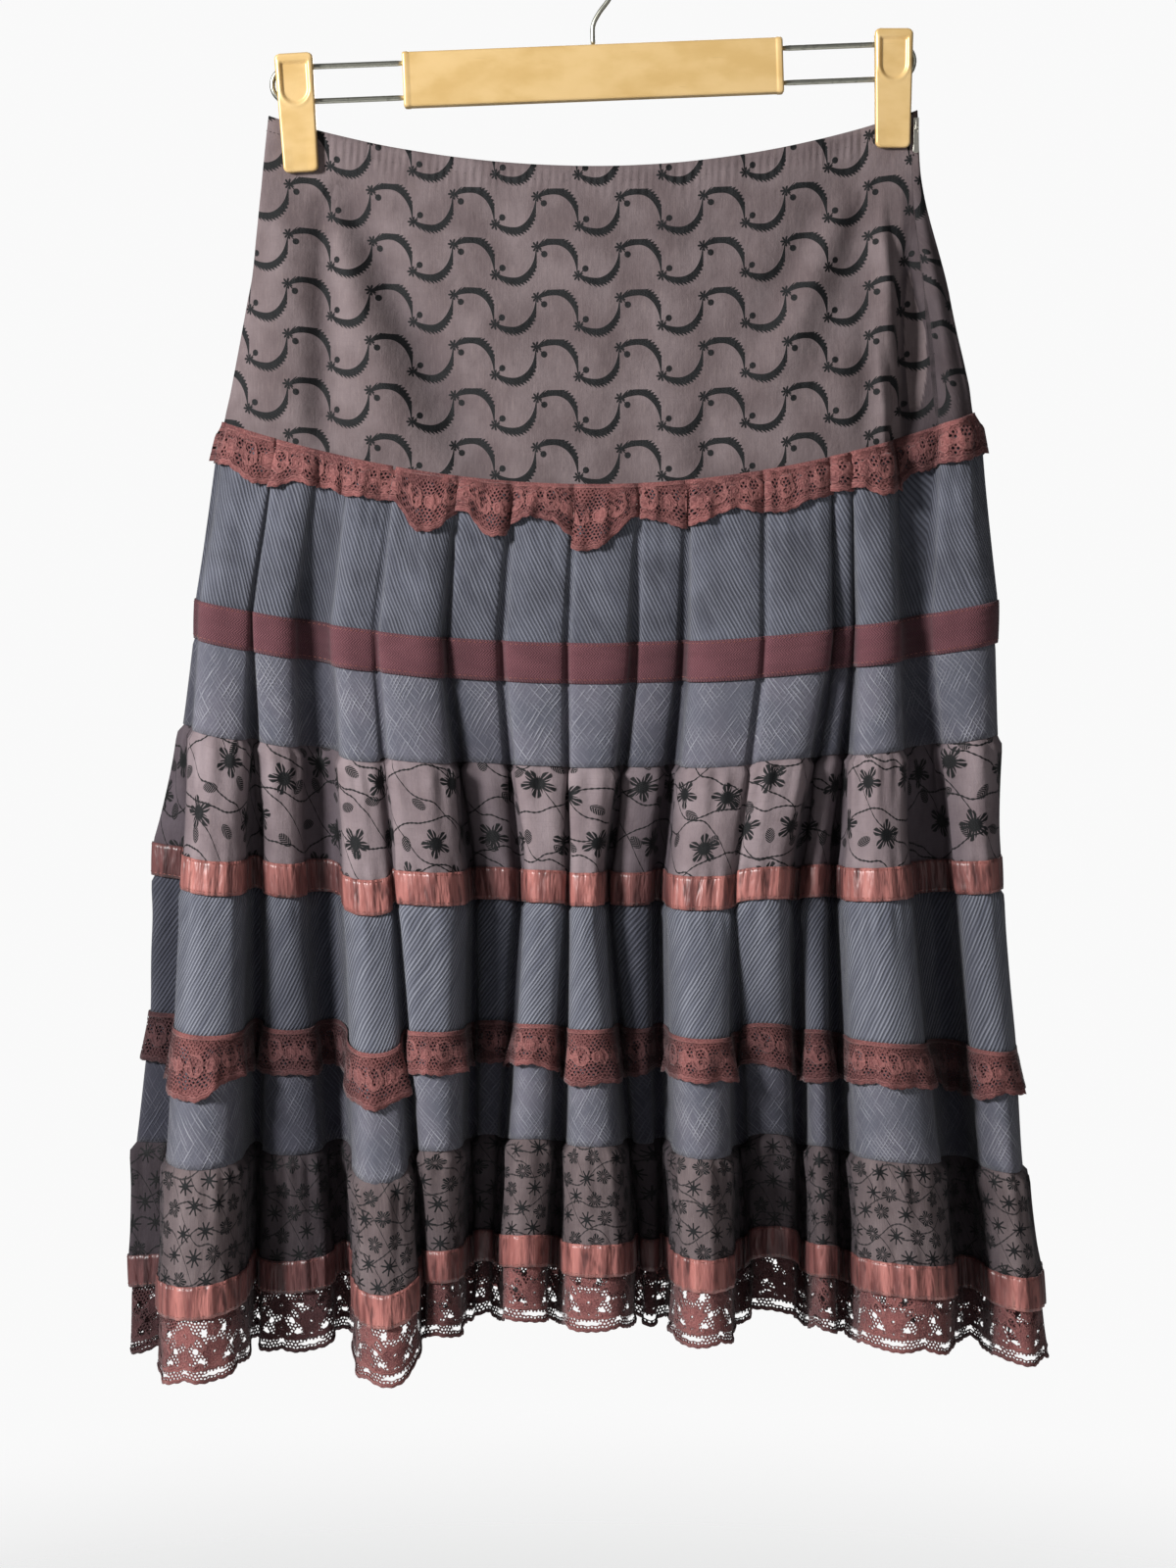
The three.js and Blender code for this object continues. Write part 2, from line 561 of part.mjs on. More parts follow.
function tube(curve, radius, sides, steps) {
  const ring = new THREE.Shape();
  for (let i = 0; i < sides; i += 1) {
    const angle = 2 * PI * i / sides;
    if (i === 0) ring.moveTo(radius, 0);
    else ring.lineTo(radius * cos(angle), radius * sin(angle));
  }
  return new THREE.ExtrudeGeometry(ring, { steps, bevelEnabled: false, extrudePath: curve });
}

function toManifold(geometry) {
  const bare = geometry.clone();
  for (const name of ["normal", "uv"]) bare.deleteAttribute(name);
  const merged = mergeVertices(bare, 1e-4);
  return new wasm.Manifold(new wasm.Mesh({
    numProp: 3,
    vertProperties: new Float32Array(merged.attributes.position.array),
    triVerts: new Uint32Array(merged.index.array),
  }));
}

function fromManifold(solid) {
  const mesh = solid.getMesh();
  const geometry = new THREE.BufferGeometry();
  geometry.setAttribute("position", new THREE.BufferAttribute(new Float32Array(mesh.vertProperties), 3));
  geometry.setIndex(new THREE.BufferAttribute(new Uint32Array(mesh.triVerts), 1));
  geometry.computeVertexNormals();
  return geometry;
}

// Front jaw with its thumb recess sunk into the outer face
function frontJaw() {
  const body = plate(roundedShape(JAW.bottom, JAW.top, JAW.height, JAW.corner), JAW.depth, JAW.bevel);
  const hollow = roundedShape(THUMB.width, THUMB.width, THUMB.height, THUMB.corner);
  const recess = plate(hollow, JAW.depth, THUMB.bevel);
  recess.translate(0, THUMB.depth - JAW.depth, JAW.height / 2 - THUMB.fromTop - THUMB.height / 2);
  return fromManifold(toManifold(body).subtract(toManifold(recess)));
}

function backJaw() {
  const shape = roundedShape(JAW.bottom - JAW.backTrim, JAW.top - JAW.backTrim, JAW.height, JAW.corner);
  const geometry = plate(shape, JAW.depth, JAW.bevel);
  geometry.rotateZ(PI);
  return geometry;
}

// The leaf spring between the jaws: a strip folded once at its top, seen from the side as a narrow U
function leafSpring() {
  const { width, height, wall } = SPRING;
  const outside = PINCH - SPRING_GAP;
  const shape = new THREE.Shape();
  shape.moveTo(-outside, -height / 2);
  shape.lineTo(-outside, height / 2);
  shape.lineTo(outside, height / 2);
  shape.lineTo(outside, -height / 2);
  shape.lineTo(outside - wall, -height / 2);
  shape.lineTo(outside - wall, height / 2 - wall);
  shape.lineTo(wall - outside, height / 2 - wall);
  shape.lineTo(wall - outside, -height / 2);
  const geometry = new THREE.ExtrudeGeometry(shape, { depth: width, bevelEnabled: false });
  geometry.translate(0, 0, -width / 2);
  geometry.rotateX(PI / 2);
  geometry.rotateZ(PI / 2);
  return geometry;
}

// A wire rod that leaves the bar, bends round past the clip and comes back
function rodLoop(sign) {
  const start = BAR.width / 2 + HANGER_GAP;
  const { radius, spread, reach, sides, steps } = ROD;
  const bend = new THREE.CurvePath();
  const at = (x, z) => new THREE.Vector3(sign * x, 0, z);
  bend.add(new THREE.LineCurve3(at(start, spread), at(reach, spread)));
  const kappa = QUARTER_ARC * spread;
  const tip = reach + spread;
  const quarter = (...points) => bend.add(new THREE.CubicBezierCurve3(...points));
  quarter(at(reach, spread), at(reach + kappa, spread), at(tip, kappa), at(tip, 0));
  quarter(at(tip, 0), at(tip, -kappa), at(reach + kappa, -spread), at(reach, -spread));
  bend.add(new THREE.LineCurve3(at(reach, -spread), at(start, -spread)));
  return tube(bend, radius, sides, steps);
}

// The wire hook: a short stem, a swing to the right and a bend over the top
function hookWire() {
  const { radius, bend, sides, steps, from, to, every } = HOOK;
  const centre = radius - bend;
  const foot = [0, BAR.z + BAR.height / 2 + HANGER_GAP];
  const points = [foot, ...HOOK_STEM].map(([x, z]) => new THREE.Vector3(x, 0, z));
  for (let degrees = from; degrees <= to; degrees += every) {
    const angle = degrees * PI / 180;
    points.push(new THREE.Vector3(bend * cos(angle), 0, centre + bend * sin(angle)));
  }
  return tube(new THREE.CatmullRomCurve3(points, false, "centripetal"), radius, sides, steps);
}

function addHanger() {
  const hanger = new THREE.Group();
  hanger.position.set(0, 0, BAR.z);
  hanger.rotation.y = HANGER_TILT;
  model.add(hanger);
  const bar = plate(roundedShape(BAR.width, BAR.width, BAR.height, BAR.corner), BAR.depth, BAR.bevel);
  bar.translate(0, BAR.depth / 2, 0);
  addMesh(hanger, "hanger_bar", bar, FINISHES.gildedPlastic);
  addMesh(hanger, "rod_left", rodLoop(-1), FINISHES.wire);
  addMesh(hanger, "rod_right", rodLoop(1), FINISHES.wire);
  addMesh(model, "hook", hookWire(), FINISHES.wire);
  for (const { name, x, z, lean } of CLIPS) {
    const clip = new THREE.Group();
    clip.position.set(x, 0, z);
    clip.rotation.y = -lean;
    model.add(clip);
    addMesh(clip, `clip_${name}_front`, frontJaw(), FINISHES.gildedPlastic).position.y = -JAW_GAP;
    addMesh(clip, `clip_${name}_back`, backJaw(), FINISHES.gildedPlastic).position.y = JAW_GAP;
    const rodZ = BAR.z - x * Math.tan(HANGER_TILT) - z;
    addMesh(clip, `clip_${name}_spring`, leafSpring(), FINISHES.wire).position.z = rodZ;
  }
}

// Side zip: the slider with its bridge, and the tab whose cross bar turns under the bridge
const SLIDER = {
  x: 177, top: -108.2, width: 3, height: 8, depth: 1, bridge: 0.8, beam: 0.6, rise: 2, legs: 3.4,
};
const TAB = {
  top: 2.6, bottom: 3.3, length: 15.5, wall: 0.8, corner: 1.1, bevel: 0.15, bar: 0.8, window: [1.4, 3.6],
};

// How far joined boxes run into one another
const SINK = 0.2;

function box(x0, x1, y0, y1, z0, z1) {
  const geometry = new THREE.BoxGeometry(x1 - x0, y1 - y0, z1 - z0);
  geometry.translate((x0 + x1) / 2, (y0 + y1) / 2, (z0 + z1) / 2);
  return geometry;
}

function addZip() {
  const { x, top, width, height, depth, bridge, beam, rise, legs } = SLIDER;
  const [x0, x1] = [x - bridge / 2, x + bridge / 2];
  const back = -PINCH - HANGER_GAP;
  const face = back - depth;
  const crown = face - rise;
  const middle = top - height / 2;
  const arch = [
    box(x0, x1, crown, face + SINK, middle + legs / 2, middle + legs / 2 + bridge),
    box(x0, x1, crown, face + SINK, middle - legs / 2 - bridge, middle - legs / 2),
    box(x0, x1, crown, crown + beam, middle - legs / 2 - SINK, middle + legs / 2 + SINK),
  ];
  let slider = toManifold(box(x - width / 2, x + width / 2, face, back, top - height, top));
  for (const piece of arch) slider = slider.add(toManifold(piece));
  addMesh(model, "zip_slider", fromManifold(slider), FINISHES.zipMetal);

  const pivotY = (crown + beam + face) / 2;
  const half = TAB.length / 2;
  const outline = roundedShape(TAB.bottom, TAB.top, TAB.length, TAB.corner);
  const tab = plate(outline, TAB.wall, TAB.bevel);
  tab.translate(x, pivotY + TAB.wall / 2, middle + TAB.bar / 2 - half);
  const [w, h] = TAB.window;
  const windowTop = middle - TAB.bar / 2;
  const cut = box(x - w / 2, x + w / 2, pivotY - TAB.wall, pivotY + TAB.wall, windowTop - h, windowTop);
  addMesh(model, "zip_tab", fromManifold(toManifold(tab).subtract(toManifold(cut))), FINISHES.zipMetal);
}

addYoke();
addTopTiers();
addLowTiers();
addHem();
addHanger();
addZip();

export default model;
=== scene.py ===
"""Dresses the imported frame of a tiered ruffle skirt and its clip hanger.

Lengths in the tables are millimetres in the part's own frame: the skirt's front faces -Y, +Z is up, and the
origin is the top of the inside of the hook. Meshes are made in metres.
"""

from __future__ import annotations

import logging
import math
from dataclasses import dataclass
from enum import Enum
from typing import Any, Callable, Sequence

import bmesh
import bpy
import numpy as np
from mathutils import Matrix, Vector


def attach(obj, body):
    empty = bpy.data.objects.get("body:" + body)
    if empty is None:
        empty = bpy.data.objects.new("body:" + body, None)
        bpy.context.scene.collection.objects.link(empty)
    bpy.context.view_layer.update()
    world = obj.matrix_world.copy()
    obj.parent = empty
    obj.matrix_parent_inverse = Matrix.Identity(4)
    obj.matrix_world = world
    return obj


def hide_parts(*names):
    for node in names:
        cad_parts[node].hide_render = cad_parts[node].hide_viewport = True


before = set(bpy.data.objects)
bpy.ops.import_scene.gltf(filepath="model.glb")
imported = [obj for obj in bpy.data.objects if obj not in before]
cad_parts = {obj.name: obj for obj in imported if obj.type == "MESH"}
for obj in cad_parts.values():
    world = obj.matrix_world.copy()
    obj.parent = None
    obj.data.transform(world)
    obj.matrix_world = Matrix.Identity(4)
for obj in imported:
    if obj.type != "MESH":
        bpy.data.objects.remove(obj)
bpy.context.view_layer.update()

LOG = logging.getLogger("skirt")
MM = 0.001
TAU = 2 * math.pi
Array = np.ndarray
UV_NAME = "cloth"


# Form of the skirt: the same named sizes as the part's source


@dataclass(frozen=True)
class Level:
    """One seam or trim edge all round the skirt.

    Heights are at the left edge, the centre and the right edge; then x of the left edge, the zip seam and
    the right edge.
    """

    left: float
    centre: float
    right: float
    x_left: float
    x_seam: float
    x_right: float

    def height(self, x: Array) -> Array:
        """Height at x, from the sag between the two edges."""
        edge = np.where(x < 0, self.left, self.right)
        reach = np.where(x < 0, self.x_left, self.x_right)
        return self.centre + (edge - self.centre) * np.minimum(1.0, (x / reach) ** 2)


LEVELS: dict[str, Level] = {
    "waist": Level(-107, -135, -104, -178, 176, 178),
    "casing": Level(-115, -143, -112, -179, 176, 178.5),
    "clip_end": Level(-141, -168, -137, -182, 175.5, 180),
    "mid_yoke": Level(-205, -236, -200, -190, 183, 196),
    "hip": Level(-276, -310, -271, -205, 191, 211),
    "tape_top": Level(-371, -395, -372, -221, 181, 225),
    "tape_end": Level(-392, -417, -395, -222, 182, 225),
    "seam_two": Level(-441, -464, -447, -229, 189, 227),
    "ribbon_top": Level(-508, -522, -515, -246, 193, 228),
    "ribbon_end": Level(-526, -540, -533, -247, 194, 229),
    "seam_three": Level(-607, -612, -626, -251, 203, 239),
    "seam_four": Level(-680, -676, -691, -260, 208, 243),
    "hem_ribbon_top": Level(-746, -731, -750, -264, 214, 254),
    "hem_ribbon_end": Level(-764, -749, -769, -264, 215, 256),
    "hem": Level(-803, -780, -800, -265, 216, 259),
}


@dataclass(frozen=True)
class YokeForm:
    """How far the yoke bows at one level, whether the clips pinch it, and the recess at the zip seam."""

    front: float
    back: float
    pinched: bool
    x_fold: float
    seam_y: float


PINCH = 1.6
CLIP_INNER_X = 147.0
PINCHED_END = 40
OVAL_SPREAD = 2.6
OVAL_ROUND = 0.45
SEAM_SWELL = 4.0
YOKE_FORMS: dict[str, YokeForm] = {
    "waist": YokeForm(8, 9, True, 168, -PINCH),
    "casing": YokeForm(8.5, 9.5, True, 168, -PINCH),
    "clip_end": YokeForm(11, 12, True, 168, -PINCH),
    "mid_yoke": YokeForm(18, 20, False, 167, -3.5),
    "hip": YokeForm(24, 27, False, 164, -6),
}

Place = tuple[float, float, float, float]


@dataclass(frozen=True)
class Fold:
    """One hanging fold: its two edges, crest and following gap at the tape, the ribbon and the hem."""

    tape: Place
    ribbon: Place
    hem: Place
    drop: float

    def at(self, centre: float) -> tuple[float, float, float, float, float]:
        """The fold's place and drop on the level whose middle is at the given height."""
        places = (self.tape, self.ribbon, self.hem)
        k = 0 if centre >= FOLD_HEIGHTS[1] else 1
        share = (centre - FOLD_HEIGHTS[k]) / (FOLD_HEIGHTS[k + 1] - FOLD_HEIGHTS[k])
        share = min(1.0, max(0.0, share))
        fall = (centre - FOLD_HEIGHTS[0]) / (FOLD_HEIGHTS[-1] - FOLD_HEIGHTS[0])
        fall = min(1.0, max(0.0, fall))
        start, end, crest, gap = (a + (b - a) * share for a, b in zip(places[k], places[k + 1]))
        return start, end, crest, gap, self.drop * fall


FOLD_HEIGHTS = (-406.0, -531.0, -740.0)
FRONT_FOLDS = (
    Fold((-217, -190, -24, -19), (-227, -194, -40, -12), (-243, -195, -62, -6), 6),
    Fold((-187, -165, -23, -9), (-182, -162, -25, -6), (-188, -148, -24, -6), 6),
    Fold((-144, -122, -24, -22), (-138, -113, -38, -30), (-133, -98, -64, -34), 18),
    Fold((-117, -84, -31, -18), (-107, -71, -45, -10), (-92, -74, -48, -7), -2),
    Fold((-79, -54, -21, -16), (-63, -44, -20, -12), (-66, -58, -15, -7), -5),
    Fold((-48, -17, -23, -18), (-36, -17, -35, -26), (-51, -27, -37, -12), -7),
    Fold((-12, 20, -23, -13), (-11, 4, -36, -11), (-16, 22, -45, -7), -3),
    Fold((26, 47, -16, -11), (11, 31, -22, -7), (29, 36, -14, -6), 2),
    Fold((54, 92, -29, -25), (42, 74, -46, -38), (45, 78, -62, -9), 0),
    Fold((97, 131, -29, -14), (80, 107, -43, -17), (90, 115, -24, -7), -12),
    Fold((135, 143, -16, -12), (117, 129, -25, -9), (123, 136, -41, -20), -7),
    Fold((147, 169, -26, -9), (139, 175, -45, -6), (148, 202, -61, -6), -5),
)
SIDE_FOLD = Fold((188, 222, -17, 0), (203, 226, -24, 0), (224, 256, -41, 0), 0)
BACK_FOLDS = (
    Fold((213, 180, 24, 17), (214, 178, 36, 14), (240, 196, 52, 10), 2),
    Fold((168, 131, 28, 18), (164, 127, 42, 13), (180, 138, 60, 9), 5),
    Fold((119, 86, 26, 17), (113, 84, 34, 12), (122, 92, 40, 9), -4),
    Fold((75, 33, 30, 20), (70, 27, 46, 15), (77, 24, 64, 11), 4),
    Fold((22, -17, 27, 18), (14, -23, 37, 12), (9, -32, 47, 9), -3),
    Fold((-28, -66, 29, 19), (-36, -70, 43, 14), (-46, -82, 58, 10), 1),
    Fold((-77, -118, 30, 18), (-84, -131, 45, 13), (-97, -150, 65, 9), 6),
    Fold((-130, -160, 26, 17), (-145, -175, 35, 12), (-165, -199, 44, 9), -4),
    Fold((-171, -207, 25, 14), (-189, -230, 38, 9), (-214, -249, 55, 8), 3),
)
EDGE_GAP_REACH = 3.0
FRONT_EDGE_GAP = 0.6
BACK_EDGE_GAP = 0.7
HIP_RIPPLE = 1.2


@dataclass(frozen=True)
class Knot:
    """A crest, gap or side edge of a ring, with the flanks beside a crest."""

    kind: str
    x: float
    y: float
    drop: float = 0.0
    before: float = 0.0
    after: float = 0.0
    back: bool = False


class SkirtForm:
    """The rings of the skirt: smooth round the yoke, folded below it."""

    def hip_depth(self, name: str, x: Array, front: bool) -> Array:
        """Depth y of the smooth hip form.

        Args:
            name: The level.
            x: Places across the skirt.
            front: True for the front, False for the back.

        Returns:
            The depth at each place.
        """
        level, form = LEVELS[name], YOKE_FORMS[name]
        bow = form.front if front else form.back
        middle = (level.x_left + level.x_right) / 2
        across = np.minimum(1.0, np.abs((x - middle) / (level.x_right - middle)))
        if form.pinched:
            depth = PINCH + bow * np.maximum(0.0, 1 - (x / CLIP_INNER_X) ** 2)
            depth = depth * np.sqrt(1 - across**PINCHED_END)
        else:
            depth = bow * (1 - across**OVAL_SPREAD) ** OVAL_ROUND
        if not front:
            return depth
        return -depth + (form.seam_y + depth) * ease(x - form.x_fold, -4, 2)

    def side_bulge(self, name: str, t: Array) -> Array:
        """Depth y of the strip between the zip seam and the right edge, for t from 0 to 1."""
        form = YOKE_FORMS[name]
        swell = 0.0 if form.pinched else SEAM_SWELL
        bulge = form.seam_y - swell * np.sin(math.pi * np.minimum(1.0, t * 1.2))
        return bulge * np.sqrt(np.maximum(0.0, 1 - t**6))

    def yoke_ring(self, name: str, columns: tuple[int, int, int]) -> Array:
        """The ring of a yoke level.

        Args:
            name: The level.
            columns: Columns on the front, the strip beside the zip, and the back.

        Returns:
            Points in order round the waist, from the left edge over the front.
        """
        level = LEVELS[name]
        front, strip, back = columns
        t = np.arange(front) / front
        eased = np.sin(t * math.pi / 2) ** 2 * 0.5 + t * 0.5
        x = [level.x_left + (level.x_seam - level.x_left) * eased]
        y = [self.hip_depth(name, x[0], True)]
        t = np.arange(strip) / strip
        x.append(level.x_seam + (level.x_right - level.x_seam) * t)
        y.append(self.side_bulge(name, t))
        t = np.arange(back) / back
        eased = (1 - np.cos(t * math.pi)) / 2 * 0.6 + t * 0.4
        x.append(level.x_right + (level.x_left - level.x_right) * eased)
        y.append(self.hip_depth(name, x[2], False))
        xs, ys = np.concatenate(x), np.concatenate(y)
        return np.stack([xs, ys, level.height(xs)], axis=-1)

    def _under_yoke(self, x: float) -> float:
        """Moves a fold edge of the tape's level to where it starts under the yoke."""
        top, hip = LEVELS["tape_top"], LEVELS["hip"]
        anchors = [
            (top.x_left, hip.x_left),
            (FRONT_FOLDS[-1].tape[1], YOKE_FORMS["hip"].x_fold),
            (top.x_seam, hip.x_seam),
            (top.x_right, hip.x_right),
        ]
        return float(np.interp(x, [a for a, _ in anchors], [b for _, b in anchors]))

    def knots(self, name: str) -> list[Knot]:
        """Knots of a level's ring in order round the skirt, from the left edge over the front."""
        level = LEVELS[name]
        hip = name == "hip"
        centre = FOLD_HEIGHTS[0] if hip else level.centre
        top = LEVELS["tape_top"]
        place: Callable[[float], float] = self._under_yoke if hip else float

        def back_place(x: float) -> float:
            """Place of a back fold's edge, drawn in on the hip's level."""
            if not hip:
                return x
            share = (x - top.x_left) / (top.x_right - top.x_left)
            return level.x_left + (level.x_right - level.x_left) * share

        front = [fold.at(centre) for fold in FRONT_FOLDS]
        side = SIDE_FOLD.at(centre)
        back = [fold.at(centre) for fold in BACK_FOLDS]
        knots = [Knot("edge", level.x_left, 0)]
        knots.append(Knot("gap", place(front[0][0] - EDGE_GAP_REACH), front[0][3] * FRONT_EDGE_GAP))
        for i, (start, end, crest, gap, drop) in enumerate(front):
            last = i == len(front) - 1
            seam_x = top.x_seam if hip else level.x_seam
            gap_x = seam_x if last else (end + front[i + 1][0]) / 2
            middle = place((start + end) / 2)
            knots.append(Knot("crest", middle, crest, drop, place(start), place(end)))
            knots.append(Knot("gap", place(gap_x), gap))
        start, end, crest, _, drop = side
        knots.append(Knot("crest", place((start + end) / 2), crest, drop, place(start), level.x_right))
        knots.append(Knot("edge", level.x_right, 0))
        first = back_place(back[0][0] + EDGE_GAP_REACH)
        knots.append(Knot("gap", first, back[0][3] * BACK_EDGE_GAP, back=True))
        for i, (start, end, crest, gap, drop) in enumerate(back):
            last = i == len(back) - 1
            gap_x = end - EDGE_GAP_REACH if last else (end + back[i + 1][0]) / 2
            middle = back_place((start + end) / 2)
            flanks = (back_place(start), back_place(end))
            knots.append(Knot("crest", middle, crest, drop, *flanks, back=True))
            knots.append(Knot("gap", back_place(gap_x), gap, back=True))
        knots.append(Knot("edge", level.x_left, 0, back=True))
        return knots

    def fold_ring(self, name: str, columns: Array) -> Array:
        """The folded ring of a level.

        Args:
            name: The level.
            columns: For each column, the number of its knot plus its share of the way to the next one.

        Returns:
            One point for each column.
        """
        knots = self.knots(name)
        index = np.minimum(columns.astype(int), len(knots) - 2)
        t = columns - index
        points = np.empty((len(columns), 3))
        for i in range(len(knots) - 1):
            here = index == i
            if here.any():
                points[here] = self._between(name, knots[i], knots[i + 1], t[here])
        return points

    def _between(self, name: str, a: Knot, b: Knot, t: Array) -> Array:
        """Points between two knots: round crests and gaps with an upright flank between them."""
        turn = (1 - np.cos(math.pi * t)) / 2
        drop = a.drop + (b.drop - a.drop) * turn
        rise, fall = np.sin(math.pi * t / 2), 1 - np.cos(math.pi * t / 2)
        if a.kind == "edge":
            x, y = a.x + (b.x - a.x) * fall, a.y + (b.y - a.y) * rise
        elif b.kind == "edge":
            x, y = a.x + (b.x - a.x) * rise, a.y + (b.y - a.y) * fall
        else:
            flank = a.after if a.kind == "crest" else b.before
            first = a.x + (flank - a.x) * np.sin(math.pi * t)
            second = flank + (b.x - flank) * (1 - np.sin(math.pi * t))
            x, y = np.where(t < 0.5, first, second), a.y + (b.y - a.y) * turn
        if name == "hip":
            sign = 1.0 if a.back else -1.0
            wave = (1 if a.kind == "crest" else -1) * np.cos(math.pi * t) * HIP_RIPPLE
            ends = rise if a.kind == "edge" else 1 - fall if b.kind == "edge" else 1.0
            y = self._hip_ring_depth(x, a.back or b.back) + sign * wave * ends
        return np.stack([x, y, LEVELS[name].height(x) - drop], axis=-1)

    def _hip_ring_depth(self, x: Array, back: bool) -> Array:
        """Depth of the hip ring, which follows the yoke's lower edge."""
        level = LEVELS["hip"]
        if back:
            return self.hip_depth("hip", x, False)
        t = np.clip((x - level.x_seam) / (level.x_right - level.x_seam), 0, 1)
        front = self.hip_depth("hip", np.minimum(x, level.x_seam), True)
        return np.where(x <= level.x_seam, front, self.side_bulge("hip", t))

    def even_columns(self, name: str, spacing: float) -> Array:
        """Column places that are evenly spaced along one level's ring.

        Args:
            name: The level on which the columns are even.
            spacing: Their distance.

        Returns:
            Column places for fold_ring, without the closing one.
        """
        fine = np.linspace(0, len(self.knots(name)) - 1, 6001)
        ring = self.fold_ring(name, fine)
        steps = np.linalg.norm(np.diff(ring[:, :2], axis=0), axis=1)
        arc = np.concatenate([[0], np.cumsum(steps)])
        count = int(arc[-1] / spacing)
        return np.interp(np.arange(count) * arc[-1] / count, arc, fine)


FORM = SkirtForm()


# Small tools for cloth relief


class SoftNoise:
    """Smooth value noise from -1 to 1 on a fixed lattice."""

    def __init__(self, seed: int, size: int = 128) -> None:
        """Fills the lattice from the given seed."""
        self.size = size
        self.table = np.random.default_rng(seed).random((size, size)) * 2 - 1

    def at(self, x: Any, y: Any) -> Array:
        """Noise at the given lattice coordinates."""
        x, y = np.broadcast_arrays(np.asarray(x, float), np.asarray(y, float))
        ix, iy = np.floor(x).astype(int), np.floor(y).astype(int)
        fx, fy = x - ix, y - iy
        fx, fy = fx * fx * (3 - 2 * fx), fy * fy * (3 - 2 * fy)
        n, table = self.size, self.table
        a = table[ix % n, iy % n]
        b = table[(ix + 1) % n, iy % n]
        c = table[ix % n, (iy + 1) % n]
        d = table[(ix + 1) % n, (iy + 1) % n]
        top = a + (b - a) * fx
        return top + (c + (d - c) * fx - top) * fy


def ease(value: Any, low: float, high: float) -> Array:
    """Smooth step from 0 at low to 1 at high."""
    t = np.clip((np.asarray(value, float) - low) / (high - low), 0, 1)
    return t * t * (3 - 2 * t)


PLEAT_FADE = 1.4
PLEAT_LIFT = 0.6


@dataclass(frozen=True)
class Gathers:
    """Small uneven pleats that start at a seam and fade away from it."""

    wave: float
    depth: float
    reach: float
    seed: int

    def at(self, arc: Array, away: Array) -> Array:
        """Height of the pleats.

        Args:
            arc: Place along the cloth, a row of columns.
            away: Distance from the seam, a column of rows.

        Returns:
            Height out of the cloth for each row and column.
        """
        noise = SoftNoise(self.seed)
        bend = 0.55 * noise.at(arc / (self.wave * 3.1), 0.5)
        phase = TAU * (arc / self.wave + bend)
        lean = 0.9 * noise.at(arc / (self.wave * 4.3), away / 22)
        strength = 0.62 + 0.38 * noise.at(arc / (self.wave * 2.3), 7.5)
        reach = self.reach * (1 + 0.6 * noise.at(arc / (self.wave * 1.9), 13.5))
        fade = self.fade(np.maximum(away, 0), reach)
        return self.depth * strength * np.sin(phase + lean) * fade

    @staticmethod
    def fade(away: Array, reach: Any) -> Array:
        """Share of the pleats that is left at a distance from the seam."""
        return np.exp(-((away / reach) ** PLEAT_FADE))

    def raised(self, arc: Array, away: Array) -> Array:
        """The pleats on cloth that they lift as a whole, so that few of their valleys sink below it."""
        return (self.at(arc, away) + self.depth * self.fade(away, self.reach)) * PLEAT_LIFT


@dataclass(frozen=True)
class Swells:
    """Broad soft unevenness of hanging cloth."""

    across: float
    down: float
    depth: float
    seed: int

    def at(self, arc: Array, away: Array) -> Array:
        """Height of the swells for each row and column."""
        noise = SoftNoise(self.seed)
        return self.depth * noise.at(arc / self.across, away / self.down)

    raised = at


@dataclass(frozen=True)
class Crease:
    """A soft trough, or a ridge where its depth is positive, that widens along its way."""

    x0: float
    z0: float
    x1: float
    z1: float
    depth: float
    width: float
    spread: float = 0.8
    back: bool = False

    def at(self, points: Array) -> Array:
        """Height of the crease at each point of a grid."""
        dx, dz = self.x1 - self.x0, self.z1 - self.z0
        px, pz = points[..., 0] - self.x0, points[..., 2] - self.z0
        t = (px * dx + pz * dz) / (dx * dx + dz * dz)
        along = np.clip(t, 0, 1)
        gap = np.hypot(px - along * dx, pz - along * dz)
        side = (points[..., 1] > 0) == self.back
        taper = np.sqrt(np.maximum(0.0, np.sin(math.pi * along)))
        return self.depth * np.exp(-((gap / (self.width * (1 + self.spread * along))) ** 2)) * taper * side


def outward(grid: Array) -> Array:
    """Outward plan normals of a grid of rings, whose columns close on themselves."""
    ahead, behind = np.roll(grid, -1, axis=1), np.roll(grid, 1, axis=1)
    dx, dy = ahead[..., 0] - behind[..., 0], ahead[..., 1] - behind[..., 1]
    length = np.maximum(1e-6, np.hypot(dx, dy))
    return np.stack([dy / length, -dx / length, np.zeros_like(dx)], axis=-1)


def through(rings: Sequence[Array], places: Array, smooth: bool) -> Array:
    """Rows of a panel between its rings.

    Args:
        rings: The panel's rings, from the top down.
        places: Row places, where each whole number is one ring.
        smooth: True for a curved side view, False for straight panels.

    Returns:
        A grid of points, one row for each place.
    """
    stack = np.stack(rings)
    last = len(rings) - 1
    index = np.clip(places.astype(int), 0, last - 1)
    t = (places - index)[:, None, None]
    a, b = stack[index], stack[index + 1]
    if not smooth:
        return a + (b - a) * t
    steps = np.abs(np.diff(stack[..., 2].mean(axis=1)))
    depth = np.concatenate([[0], np.cumsum(steps)])
    slope = np.gradient(stack, depth, axis=0)
    span = steps[index][:, None, None]
    t2, t3 = t * t, t * t * t
    return (
        (2 * t3 - 3 * t2 + 1) * a
        + (t3 - 2 * t2 + t) * span * slope[index]
        + (3 * t2 - 2 * t3) * b
        + (t3 - t2) * span * slope[index + 1]
    )


VALLEY_REACH = 45.0
VALLEY_SLOPE = 0.3
VALLEY_START = 1.5
VALLEY_DEPTH = 9.0


